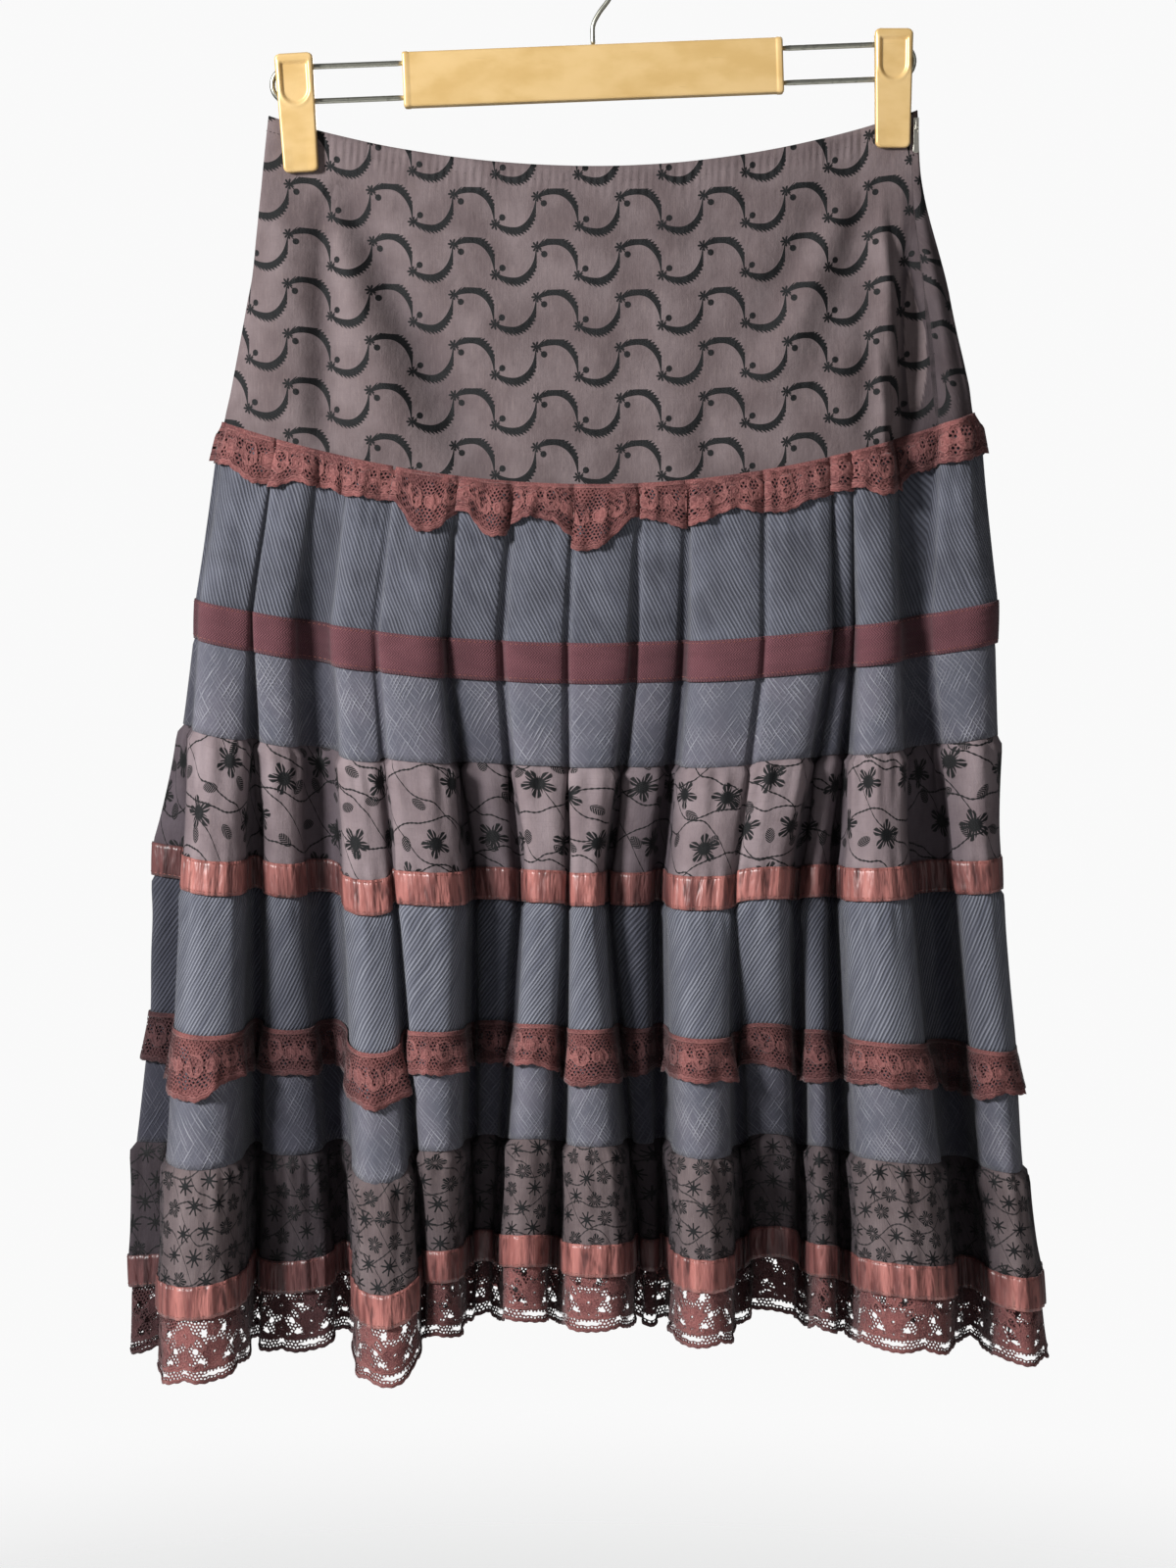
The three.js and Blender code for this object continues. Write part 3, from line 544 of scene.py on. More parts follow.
# Its numbers are the mask of the painted shade in the valleys of the folds.
def valley_of(grid: Array) -> Array:
    """How deep each point of a grid of rings lies between higher cloth beside it, from 0 to 1."""
    picked = np.unique(np.linspace(0, len(grid) - 1, 9).astype(int))
    found = []
    for ring in grid[picked]:
        near = ring[::3]
        step = np.abs(ring[:, None, 0] - near[None, :, 0])
        rise = np.abs(near[None, :, 1]) - np.abs(ring[:, None, 1]) - VALLEY_SLOPE * step
        same = (step < VALLEY_REACH) & ((ring[:, None, 1] > 0) == (near[None, :, 1] > 0))
        highest = np.where(same, rise, 0.0).max(axis=1)
        found.append(1 - np.exp(-np.maximum(0.0, highest - VALLEY_START) / VALLEY_DEPTH))
    table = np.stack(found)
    place = np.interp(np.arange(len(grid)), picked, np.arange(len(picked)))
    low = np.minimum(place.astype(int), len(picked) - 2)
    share = (place - low)[:, None]
    return table[low] * (1 - share) + table[low + 1] * share


def thinned(count: int, step: int) -> Array:
    """Every few row numbers below a count, and the last one."""
    return np.unique(np.append(np.arange(0, count, step), count - 1))


def arc_of(ring: Array) -> Array:
    """Distance along a closed ring at each of its columns, and its whole length at the end."""
    closed = np.concatenate([ring, ring[:1]])
    return np.concatenate([[0], np.cumsum(np.linalg.norm(np.diff(closed, axis=0), axis=1))])


# Meshes


def linked(name: str, data: Any) -> bpy.types.Object:
    """An object with the given mesh, light or camera, linked to the scene."""
    item = bpy.data.objects.new(name, data)
    bpy.context.scene.collection.objects.link(item)
    return item


WIRE_END = 0.72


class Builder:
    """Makes mesh objects from numpy grids."""

    @staticmethod
    def mesh(name: str, points: Array, quads: Array, uvs: Array) -> bpy.types.Object:
        """A smooth object from points in millimetres and faces of four corners.

        Args:
            name: Name of the object.
            points: One row for each vertex.
            quads: Four vertex numbers for each face.
            uvs: Four UV pairs for each face, in metres of cloth.

        Returns:
            The new object, linked to the scene.
        """
        mesh = bpy.data.meshes.new(name)
        mesh.vertices.add(len(points))
        mesh.vertices.foreach_set("co", (points * MM).astype(np.float32).ravel())
        mesh.loops.add(len(quads) * 4)
        mesh.loops.foreach_set("vertex_index", quads.astype(np.int32).ravel())
        mesh.polygons.add(len(quads))
        mesh.polygons.foreach_set("loop_start", np.arange(0, len(quads) * 4, 4, dtype=np.int32))
        layer = mesh.uv_layers.new(name=UV_NAME)
        layer.data.foreach_set("uv", uvs.astype(np.float32).ravel())
        mesh.polygons.foreach_set("use_smooth", np.full(len(quads), True))
        mesh.update(calc_edges=True)
        mesh.validate()
        return linked(name, mesh)

    @staticmethod
    def solid(name: str, points: Array, faces: list[Any]) -> bpy.types.Object:
        """A smooth closed object, faced outwards, from points in millimetres and any faces."""
        mesh = bpy.data.meshes.new(name)
        mesh.from_pydata((points * MM).tolist(), [], faces)
        shape = bmesh.new()
        shape.from_mesh(mesh)
        bmesh.ops.recalc_face_normals(shape, faces=shape.faces)
        for face in shape.faces:
            face.smooth = True
        shape.to_mesh(mesh)
        shape.free()
        return linked(name, mesh)

    @staticmethod
    def attribute(item: bpy.types.Object, name: str, values: Array) -> None:
        """Stores one number for each vertex, for the materials to read."""
        layer = item.data.attributes.new(name, "FLOAT", "POINT")
        layer.data.foreach_set("value", values.astype(np.float32).ravel())

    @staticmethod
    def shell_attribute(item: bpy.types.Object, name: str, values: Array, kept: Array) -> None:
        """Stores a grid's numbers on a shell's outside and on the rows that its inside keeps."""
        Builder.attribute(item, name, np.concatenate([values.ravel(), values[kept].ravel()]))

    @staticmethod
    def shell(name: str, outer: Array, inner: Array, inner_rows: Array, uv: Array) -> bpy.types.Object:
        """A thin closed tube of cloth.

        Args:
            name: Name of the object.
            outer: Grid of the outside, rows down and columns round.
            inner: Grid of the inside with the same rows.
            inner_rows: The rows that the inside keeps.
            uv: Cloth place of each row and column in mm, with a closing column.

        Returns:
            The closed shell.
        """
        rows, columns = outer.shape[:2]
        kept = len(inner_rows)
        points = np.concatenate([outer.reshape(-1, 3), inner[inner_rows].reshape(-1, 3)])
        base = rows * columns

        def corner(r: Array, c: Array, inside: bool) -> Array:
            """Vertex number of a row and column, on the outside or the inside."""
            return (base if inside else 0) + r * columns + c % columns

        def faces(cells: tuple[Array, Array], order: list[tuple[int, int, bool]]) -> Array:
            """Vertex numbers of one face for each cell, in the given corner order."""
            r, c = cells
            return np.stack([corner(r + i, c + j, k) for i, j, k in order], axis=-1)

        def coords(cells: tuple[Array, Array], order: list[tuple[int, int]], at: Array) -> Array:
            """Cloth places of one face for each cell."""
            r, c = cells
            return np.stack([uv[at[r + i], c + j] for i, j in order], axis=1)

        def cells_of(count: int) -> tuple[Array, Array]:
            """Row and column of every cell in a grid with the given number of rows."""
            r, c = np.meshgrid(np.arange(count - 1), np.arange(columns), indexing="ij")
            return r.ravel(), c.ravel()

        every, some = np.arange(rows), np.asarray(inner_rows)
        grid, low = cells_of(rows), cells_of(kept)
        c = np.arange(columns)
        rim_top = np.stack([c, (c + 1) % columns, base + (c + 1) % columns, base + c], axis=-1)
        end, low_end = (rows - 1) * columns, base + (kept - 1) * columns
        ahead = (c + 1) % columns
        rim_end = np.stack([end + c, low_end + c, low_end + ahead, end + ahead], axis=-1)
        quads = np.concatenate(
            [
                faces(grid, [(0, 0, False), (1, 0, False), (1, 1, False), (0, 1, False)]),
                faces(low, [(0, 0, True), (0, 1, True), (1, 1, True), (1, 0, True)]),
                rim_top,
                rim_end,
            ]
        )
        ends = np.zeros(columns, int)
        uvs = np.concatenate(
            [
                coords(grid, [(0, 0), (1, 0), (1, 1), (0, 1)], every),
                coords(low, [(0, 0), (0, 1), (1, 1), (1, 0)], some),
                coords((ends, c), [(0, 0), (0, 1), (0, 1), (0, 0)], every),
                coords((ends, c), [(0, 0), (0, 0), (0, 1), (0, 1)], every + rows - 1),
            ]
        )
        return Builder.mesh(name, points, quads, uvs * MM)

    @staticmethod
    def cut_shell(
        name: str, outer: Array, inner: Array, uv: Array, opened: Array
    ) -> tuple[bpy.types.Object, Array]:
        """A thin closed tube with cells cut out of it.

        Args:
            name: Name of the object.
            outer: Grid of the outside, rows down and columns round.
            inner: Grid of the inside.
            uv: Cloth place of each row and column in mm, with a closing column.
            opened: True for each cell that is cut out.

        Returns:
            The closed shell with its holes walled, and which of the grids' points it keeps.
        """
        rows, columns = outer.shape[:2]
        base = rows * columns
        closed = ~opened
        walled = np.zeros((rows + 1, columns), bool)
        walled[1:rows] = closed
        quads: list[Array] = []
        coords: list[Array] = []

        def add(cells: Array, order: list[tuple[int, int, bool]]) -> None:
            """Adds one face for each chosen cell."""
            r, c = np.nonzero(cells)
            numbers = [(base if k else 0) + (r + i) * columns + (c + j) % columns for i, j, k in order]
            quads.append(np.stack(numbers, axis=-1))
            coords.append(np.stack([uv[r + i, c + j] for i, j, _ in order], axis=1))

        out, back = False, True
        add(closed, [(0, 0, out), (1, 0, out), (1, 1, out), (0, 1, out)])
        add(closed, [(0, 0, back), (0, 1, back), (1, 1, back), (1, 0, back)])
        above, under = walled[: rows - 1], walled[2 : rows + 1]
        left, right = np.roll(closed, 1, axis=1), np.roll(closed, -1, axis=1)
        add(closed & ~above, [(0, 0, out), (0, 1, out), (0, 1, back), (0, 0, back)])
        add(closed & ~under, [(1, 0, out), (1, 0, back), (1, 1, back), (1, 1, out)])
        add(closed & ~left, [(0, 0, out), (0, 0, back), (1, 0, back), (1, 0, out)])
        add(closed & ~right, [(0, 1, out), (1, 1, out), (1, 1, back), (0, 1, back)])
        points = np.concatenate([outer.reshape(-1, 3), inner.reshape(-1, 3)])
        numbers, places = np.concatenate(quads), np.concatenate(coords)
        used = np.unique(numbers)
        renumber = np.full(len(points), -1)
        renumber[used] = np.arange(len(used))
        return Builder.mesh(name, points[used], renumber[numbers], places * MM), used

    @staticmethod
    def tube(name: str, path: Array, radius: float, sides: int) -> bpy.types.Object:
        """A round wire with closed, slightly rounded ends that follows a path of points."""
        tangent = np.gradient(path, axis=0)
        tangent /= np.linalg.norm(tangent, axis=1)[:, None]
        side = np.cross(tangent, [0.0, 1.0, 0.0])
        side /= np.linalg.norm(side, axis=1)[:, None]
        up = np.cross(side, tangent)
        angle = np.arange(sides) / sides * TAU
        sizes = np.ones(len(path))
        sizes[0] = sizes[-1] = WIRE_END
        rings = [
            p + s * radius * (np.cos(angle)[:, None] * a + np.sin(angle)[:, None] * b)
            for p, s, a, b in zip(path, sizes, side, up)
        ]
        points = np.concatenate([*rings, path[:1], path[-1:]])
        faces: list[list[int]] = []
        for r in range(len(path) - 1):
            for c in range(sides):
                d = (c + 1) % sides
                faces.append([r * sides + c, r * sides + d, (r + 1) * sides + d, (r + 1) * sides + c])
        first, last = len(path) * sides, len(path) * sides + 1
        for c in range(sides):
            d = (c + 1) % sides
            faces.append([first, d, c])
            end = (len(path) - 1) * sides
            faces.append([last, end + c, end + d])
        return Builder.solid(name, points, faces)


# Shader tools


def linear(code: str) -> tuple[float, float, float, float]:
    """Linear colour of a hex code such as 6b5a58."""
    parts = [int(code[i : i + 2], 16) / 255 for i in (0, 2, 4)]
    curve = [p / 12.92 if p <= 0.04045 else ((p + 0.055) / 1.055) ** 2.4 for p in parts]
    return (curve[0], curve[1], curve[2], 1.0)


class Value:
    """A number in a shader, whose operators add Math nodes."""

    def __init__(self, sheet: NodeSheet, socket: bpy.types.NodeSocket) -> None:
        """Wraps a socket of the sheet's node tree."""
        self.sheet, self.socket = sheet, socket

    def __add__(self, other: Any) -> Value:
        """Sum."""
        return self.sheet.math("ADD", self, other)

    __radd__ = __add__

    def __sub__(self, other: Any) -> Value:
        """Difference."""
        return self.sheet.math("SUBTRACT", self, other)

    def __rsub__(self, other: Any) -> Value:
        """Difference, the other way round."""
        return self.sheet.math("SUBTRACT", other, self)

    def __mul__(self, other: Any) -> Value:
        """Product."""
        return self.sheet.math("MULTIPLY", self, other)

    __rmul__ = __mul__

    def __truediv__(self, other: Any) -> Value:
        """Quotient."""
        return self.sheet.math("DIVIDE", self, other)

    def __mod__(self, other: Any) -> Value:
        """Remainder, never below 0."""
        return self.sheet.math("FLOORED_MODULO", self, other)

    def __abs__(self) -> Value:
        """Size without its sign."""
        return self.sheet.math("ABSOLUTE", self)

    def sin(self) -> Value:
        """Sine of radians."""
        return self.sheet.math("SINE", self)

    def floor(self) -> Value:
        """Whole part."""
        return self.sheet.math("FLOOR", self)

    def sqrt(self) -> Value:
        """Square root."""
        return self.sheet.math("SQRT", self)

    def least(self, other: Any) -> Value:
        """The smaller of two numbers."""
        return self.sheet.math("MINIMUM", self, other)

    def most(self, other: Any) -> Value:
        """The larger of two numbers."""
        return self.sheet.math("MAXIMUM", self, other)

    def over(self, limit: Any) -> Value:
        """1 where the number is above the limit, and 0 elsewhere."""
        return self.sheet.math("GREATER_THAN", self, limit)

    def ramp(self, low: float, high: float) -> Value:
        """Smooth step from 0 at low to 1 at high."""
        if low > high:
            return 1 - self.ramp(high, low)
        settings = {"interpolation_type": "SMOOTHSTEP"}
        sockets = {0: self, 1: low, 2: high, 3: 0.0, 4: 1.0}
        return Value(self.sheet, self.sheet.node("ShaderNodeMapRange", settings, sockets).outputs[0])


# Tint of the painted shade in the valleys of the folds.
VALLEY_SHADE_TINT = (0.18, 0.18, 0.22, 1)


class NodeSheet:
    """One material and the short calls that fill its node tree."""

    def __init__(self, name: str) -> None:
        """Starts an empty material.

        Args:
            name: Name of the material.
        """
        self.material = bpy.data.materials.new(name)
        self.material.use_nodes = True
        self.tree = self.material.node_tree
        self.tree.nodes.clear()

    def node(self, kind: str, settings: dict[str, Any], sockets: dict[Any, Any]) -> bpy.types.Node:
        """Adds a node.

        Args:
            kind: The node's type.
            settings: Its own settings, set first.
            sockets: Values or links of its input sockets, by name or number.

        Returns:
            The node.
        """
        made = self.tree.nodes.new(kind)
        for key, value in settings.items():
            setattr(made, key, value)
        for key, value in sockets.items():
            socket = made.inputs[key]
            if isinstance(value, Value):
                self.tree.links.new(value.socket, socket)
            elif isinstance(value, bpy.types.NodeSocket):
                self.tree.links.new(value, socket)
            else:
                socket.default_value = value
        return made

    def math(self, operation: str, *values: Any) -> Value:
        """A Math node's result."""
        made = self.node("ShaderNodeMath", {"operation": operation}, dict(enumerate(values)))
        return Value(self, made.outputs[0])

    def vector(self, x: Any, y: Any, z: Any = 0.0) -> bpy.types.NodeSocket:
        """A vector of three numbers."""
        return self.node("ShaderNodeCombineXYZ", {}, {0: x, 1: y, 2: z}).outputs[0]

    def mix(self, factor: Any, a: Any, b: Any, blend: str = "MIX") -> bpy.types.NodeSocket:
        """Two colours mixed by a factor."""
        settings = {"data_type": "RGBA", "blend_type": blend}
        return self.node("ShaderNodeMix", settings, {0: factor, 6: a, 7: b}).outputs[2]

    def mottled(self, cloud: Value, one: str, two: str) -> bpy.types.NodeSocket:
        """The colours of two codes, mixed by soft noise."""
        return self.mix(cloud.ramp(0.3, 0.7), linear(one), linear(two))

    def cloth(self) -> tuple[Value, Value]:
        """Place on the cloth in mm: along it and down it."""
        uv = self.node("ShaderNodeUVMap", {"uv_map": UV_NAME}, {}).outputs[0]
        split = self.node("ShaderNodeSeparateXYZ", {}, {0: uv})
        return Value(self, split.outputs[0]) * 1000.0, Value(self, split.outputs[1]) * 1000.0

    def place(self) -> list[Value]:
        """Place on the object in mm: x, y and z."""
        at = self.node("ShaderNodeTexCoord", {}, {}).outputs["Object"]
        split = self.node("ShaderNodeSeparateXYZ", {}, {0: at})
        return [Value(self, split.outputs[i]) * 1000.0 for i in range(3)]

    def stored(self, name: str) -> Value:
        """A number stored on the mesh."""
        made = self.node("ShaderNodeAttribute", {"attribute_name": name}, {})
        return Value(self, made.outputs["Fac"])

    def noise(self, x: Any, y: Any, z: Any = 0.0, detail: float = 2.0, rough: float = 0.5) -> Value:
        """Soft noise from 0 to 1 at a place given in its own wavelengths."""
        sockets = {"Vector": self.vector(x, y, z), "Scale": 1.0, "Detail": detail, "Roughness": rough}
        return Value(self, self.node("ShaderNodeTexNoise", {}, sockets).outputs[0])

    @staticmethod
    def weave(u: Value, v: Value, along: float, down: float) -> Value:
        """Plain weave from -1 to 1, with its thread distances in mm."""
        return (u * TAU / along).sin() * (v * TAU / down).sin()

    @staticmethod
    def slanted(u: Value, v: Value, degrees: float) -> tuple[Value, Value]:
        """Place across and along lines that slant by an angle."""
        angle = math.radians(degrees)
        return u * math.sin(angle) + v * math.cos(angle), v * math.sin(angle) - u * math.cos(angle)

    def chance(self, x: Any, y: Any, seed: float) -> tuple[Value, Value, Value]:
        """Three random numbers for a cell."""
        made = self.node("ShaderNodeTexWhiteNoise", {}, {"Vector": self.vector(x, y, seed)})
        split = self.node("ShaderNodeSeparateColor", {}, {0: made.outputs[1]})
        return Value(self, split.outputs[0]), Value(self, split.outputs[1]), Value(self, split.outputs[2])

    def shaded_in_valleys(self, colour: Any) -> Any:
        """The colour with painted shade: darker in the valleys of the folds, where the stored mask is high.
        """
        return self.mix(self.stored("valley_shade") * 0.92, colour, VALLEY_SHADE_TINT, "MULTIPLY")

    def bump(self, height: Value, strength: float, distance: float, under: Any = None) -> Any:
        """A normal bent by a height in mm times the distance."""
        sockets: dict[Any, Any] = {"Strength": strength, "Distance": distance * MM, "Height": height}
        if under is not None:
            sockets["Normal"] = under
        return self.node("ShaderNodeBump", {}, sockets).outputs[0]

    def finish(self, constants: dict[str, Any], varying: dict[str, Any]) -> bpy.types.Material:
        """Ends the tree in a Principled shader.

        Args:
            constants: Sockets that are the same all over.
            varying: Sockets that are linked.

        Returns:
            The material.
        """
        shader = self.node("ShaderNodeBsdfPrincipled", {}, {**constants, **varying})
        self.node("ShaderNodeOutputMaterial", {}, {0: shader.outputs[0]})
        return self.material


@dataclass(frozen=True)
class Cell:
    """A cell of a repeat: the place in it, and two random numbers."""

    x: Value
    y: Value
    one: Value
    two: Value

    def turned(self) -> tuple[Value, Value]:
        """Distance from the cell's middle, and the angle round it after a random turn."""
        sheet = self.x.sheet
        radius = (self.x * self.x + self.y * self.y).sqrt()
        return radius, sheet.math("ARCTAN2", self.y, self.x) + self.one * TAU


def cell_of(sheet: NodeSheet, u: Value, v: Value, size: Sequence[float], jitter: float, seed: float) -> Cell:
    """The repeat cell of a cloth place.

    Args:
        sheet: The material.
        u: Place along the cloth in mm.
        v: Place down the cloth in mm.
        size: Width and height of a cell in mm.
        jitter: How far its middle is moved at most.
        seed: Number of this repeat's random set.

    Returns:
        The place in the cell and its random numbers.
    """
    row = (v / size[1]).floor()
    shifted = u / size[0] + (row % 2.0) * 0.5
    column = shifted.floor()
    one, two, three = sheet.chance(column, row, seed)
    x = (shifted - column - 0.5) * size[0] - (two - 0.5) * (2 * jitter)
    y = v - (row + 0.5) * size[1] - (three - 0.5) * (2 * jitter)
    return Cell(x, y, one, two)


# Embroidery


class Embroidery(Enum):
    """The stitched patterns of the taupe cotton."""

    WAVES = "waves"
    VINES = "vines"
    ROSETTES = "rosettes"


class Stitchwork:
    """Masks of the black embroidery, drawn from common repeats."""

    WAVE = 45.6
    ROW = 27.3

    def __init__(self, sheet: NodeSheet, u: Value, v: Value) -> None:
        """Keeps the place on the cloth in mm."""
        self.sheet, self.u, self.v = sheet, u, v

    def mask(self, kind: Embroidery) -> Value:
        """Where the thread lies: 1 on it, 0 beside it."""
        if kind is Embroidery.WAVES:
            return self.waves()
        return self.vines() if kind is Embroidery.VINES else self.rosettes()

    def waves(self) -> Value:
        """Rows of joined crescents with a small star and a berry where they meet."""
        half = self.WAVE / 2
        wobble = (self.sheet.noise(self.u / 30.0, self.v / 30.0, 3.0) - 0.5) * 1.6
        x0 = self.u + wobble + 30.9
        y0 = (self.v + wobble + 16.4) % self.ROW - 4.2
        side = (x0 / half).floor() % 2.0
        x = x0 % half
        y = y0 + side * (16.1 - 2.0 * y0)
        left = (x - 10.5) / 17.0
        right = (x - 10.5) / 12.3
        across = left + x.over(10.5) * (right - left)
        down = (y - 14.0) / 16.8
        gap = ((across * across + down * down).sqrt() - 1.0) * 13.5
        share = ((x + y.most(0.0) * 0.55) / 31.4).least(1.0).most(0.001)
        width = (share * math.pi).sin().most(0.0).sqrt() * 2.15 + 0.15
        tooth = ((x + y * 0.62) / 2.2) % 1.0
        crescent = (width * (0.6 + tooth * 0.7) - gap).ramp(-0.12, 0.12)
        crescent = crescent * (gap + width * 0.7).ramp(-0.12, 0.12) * (1 - y.over(14.2))
        moved = x0 + 6.0
        flip = (moved / half).floor() % 2.0
        nx = moved % half - 6.0
        ny = y0 + flip * (16.1 - 2.0 * y0)
        radius = (nx * nx + (ny - 0.2) * (ny - 0.2)).sqrt()
        angle = self.sheet.math("ARCTAN2", ny - 0.2, nx)
        star = (0.95 + abs((angle * 3.5).sin()) * 2.1 - radius).ramp(-0.2, 0.2)
        bx, by = nx - 4.1, ny - 4.0
        berry = (1.75 - (bx * bx + by * by).sqrt()).ramp(-0.2, 0.2)
        stem = (0.45 - abs(nx - ny)).ramp(-0.15, 0.15) * nx.ramp(0.0, 0.3) * (4.0 - nx).ramp(0.0, 0.3)
        return crescent.most(star).most(berry).most(stem * 0.9)

    def _runners(self, pitch: float, wave: float, tilt: float, seed: float) -> Value:
        """Thin wavering stems that run along the cloth, one in each row."""
        skew = self.v + self.u * tilt
        row = (skew / pitch).floor()
        one, two, _ = self.sheet.chance(row, 0.0, seed)
        drift = (self.sheet.noise(self.u / 17.0, row * 3.7, seed, 1.0) - 0.5) * pitch * 0.5
        swing = (self.u * TAU / wave + one * TAU).sin() * pitch * 0.2
        away = abs(skew - (row + 0.5) * pitch - drift - swing)
        ticks = ((self.u * 0.9 + two * TAU) * 2.9).sin() * 0.12
        return (0.42 + ticks - away).ramp(-0.2, 0.2)

    def vines(self) -> Value:
        """Fan flowers of radial stitches, leaf buds and wavering stems."""
        cell = cell_of(self.sheet, self.u, self.v, (29.0, 26.0), 4.5, 4.0)
        radius, angle = cell.turned()
        petals = abs((angle * 2.5).sin())
        reach = 3.0 + petals * 5.2
        threads = (angle * 17.0).sin().ramp(-0.95, -0.45)
        flower = (reach - radius).ramp(-0.5, 0.35) * threads.most(radius.ramp(4.2, 3.0))
        flower = flower * (1 - cell.two.over(0.93))
        bud = cell_of(self.sheet, self.u + 13.0, self.v + 9.0, (19.0, 21.0), 4.0, 9.0)
        spin = bud.one * TAU
        cos_, sin_ = (spin + math.pi / 2).sin(), spin.sin()
        along, across = bud.x * cos_ + bud.y * sin_, bud.y * cos_ - bud.x * sin_
        oval = ((along / 4.2) * (along / 4.2) + (across / 2.5) * (across / 2.5)).sqrt()
        hatch = ((along + abs(across)) * 5.0).sin().ramp(-0.95, -0.4)
        leaf = (1.0 - oval).ramp(-0.08, 0.12) * hatch * (1 - bud.two.over(0.78))
        stems = self._runners(26.0, 71.0, 0.12, 5.0).most(self._runners(31.0, 43.0, -1.1, 6.0))
        return flower.most(leaf).most(stems)

    def rosettes(self) -> Value:
        """Small rosettes and eight-rayed stars among thin tendrils."""
        cell = cell_of(self.sheet, self.u, self.v, (12.6, 11.6), 1.6, 11.0)
        radius, angle = cell.turned()
        ring = 2.7 + abs((angle * 2.5).sin()) * 1.9
        rosette = (ring - radius).ramp(-0.2, 0.2) * radius.ramp(0.55, 0.95)
        rosette = rosette * (angle * 15.0).sin().ramp(-0.95, -0.4)
        ray = abs((angle * 4.0).sin()) * radius
        star = (1.6 - ray).ramp(-0.3, 0.3) * (4.7 - radius).ramp(-0.3, 0.3)
        pick = cell.two.over(0.5)
        stems = self._runners(17.0, 37.0, 0.3, 8.0).most(self._runners(25.0, 29.0, -1.3, 9.0))
        return (rosette * (1 - pick) + star * pick).most(stems * 0.85)


# Finishes


MATT_CLOTH = {"Roughness": 0.94, "Specular IOR Level": 0.22, "Sheen Weight": 0.15, "Sheen Roughness": 0.5}


class Lean(Enum):
    """Which way the crinkle cloth's ribs run down the front."""

    LEFT = -62.0
    RIGHT = 57.0


@dataclass(frozen=True)
class Finish:
    """The look of a piece, made as one material."""

    name: str

    def make(self) -> bpy.types.Material:
        """Builds the material."""
        return self.paint(NodeSheet(self.name))

    def paint(self, sheet: NodeSheet) -> bpy.types.Material:
        """Fills the material's node tree; each finish has its own."""
        raise NotImplementedError


@dataclass(frozen=True)
class TaupeCotton(Finish):
    """Worn plain-weave cotton, taupe with a grey cast, with black embroidery."""

    pattern: Embroidery
    lit: str = "7a6d6e"
    shade: str = "655859"
    thread: str = "0d0e10"

    def paint(self, sheet: NodeSheet) -> bpy.types.Material:
        """Fills the material's node tree."""
        u, v = sheet.cloth()
        mottle = sheet.noise(u / 24.0, v / 30.0, 1.0, 4.0)
        slub = sheet.noise(u / 0.9, v / 9.0, 2.0, 3.0)
        weft = sheet.noise(u / 9.0, v / 0.9, 4.0, 3.0)
        body = sheet.mix(mottle.ramp(0.3, 0.72), linear(self.shade), linear(self.lit))
        body = sheet.mix(slub.ramp(0.45, 0.8) * 0.22, body, linear("93837f"))
        body = sheet.mix(weft.ramp(0.5, 0.85) * 0.2, body, linear("544748"))
        mask = Stitchwork(sheet, u, v).mask(self.pattern)
        sheen = sheet.noise(u / 0.5, v / 5.0, 6.0, 2.0)
        black = sheet.mix(sheen.ramp(0.45, 0.8), linear(self.thread), linear("17181b"))
        # Painted shade in the valleys of the folds, over the cloth and thread.
        colour = sheet.shaded_in_valleys(sheet.mix(mask, body, black))
        weave = sheet.weave(u, v, 0.62, 0.66) * 0.5
        crumple = sheet.noise(u / 7.0, v / 10.0, 9.0, 4.0, 0.6)
        threads = (u * 8.5 + v * 4.0).sin() * mask * 0.4
        normal = sheet.bump(crumple, 0.55, 1.4)
        normal = sheet.bump(weave + slub * 1.5 + mask * 1.6 + threads, 0.5, 0.22, normal)
        rough = 0.93 - mask * 0.38
        return sheet.finish(
            {"Specular IOR Level": 0.22, "Sheen Weight": 0.04, "Sheen Roughness": 0.5},
            {"Base Color": colour, "Roughness": rough, "Normal": normal},
        )


@dataclass(frozen=True)
class SlateCrinkle(Finish):
    """Soft slate cloth with slanting crinkle ribs whose ridges are paler in patches, with painted shade in
    the troughs between the ribs.
    """

    lean: Lean
    pitch: float = 1.9
    base: str = "5b5c66"
    ridge: str = "94969f"
    # Painted shade in the troughs between the ribs.
    deep: str = "34353c"

    def paint(self, sheet: NodeSheet) -> bpy.types.Material:
        """Fills the material's node tree."""
        u, v = sheet.cloth()
        wander = (sheet.noise(u / 44.0, v / 44.0, 1.0, 2.0) - 0.5) * 5.0
        across, along = sheet.slanted(u, v, self.lean.value)
        across = across + wander
        drift = sheet.noise(across / 5.0, along / 34.0, 2.0, 2.0)
        ribs = ((across + drift * 1.1) * TAU / self.pitch).sin() * 0.5 + 0.5
        ribs = ribs * 0.72 + sheet.noise(across / 1.1, along / 20.0, 4.0, 2.0) * 0.4
        wide = sheet.noise(across / 4.5, along / 44.0, 5.0, 2.0)
        patch = sheet.noise(u / 34.0, v / 26.0, 7.0, 3.0)
        body = sheet.mottled(patch, self.base, "696b77")
        # Painted shade: the troughs between the ribs darker.
        body = sheet.mix(ribs.ramp(0.5, 0.2) * 0.55, body, linear(self.deep))
        # The ribs' ridges paler in patches, then painted shade in the valleys of the folds.
        pale_lines = ribs.ramp(0.55, 0.86) * wide.ramp(0.3, 0.62)
        colour = sheet.shaded_in_valleys(sheet.mix(pale_lines * 0.5, body, linear(self.ridge)))
        weave = sheet.weave(u, v, 0.7, 0.7) * 0.25
        normal = sheet.bump(wide, 0.5, 1.0)
        normal = sheet.bump(ribs * 1.6 + weave, 0.8, 0.6, normal)
        return sheet.finish(MATT_CLOTH, {"Base Color": colour, "Normal": normal})


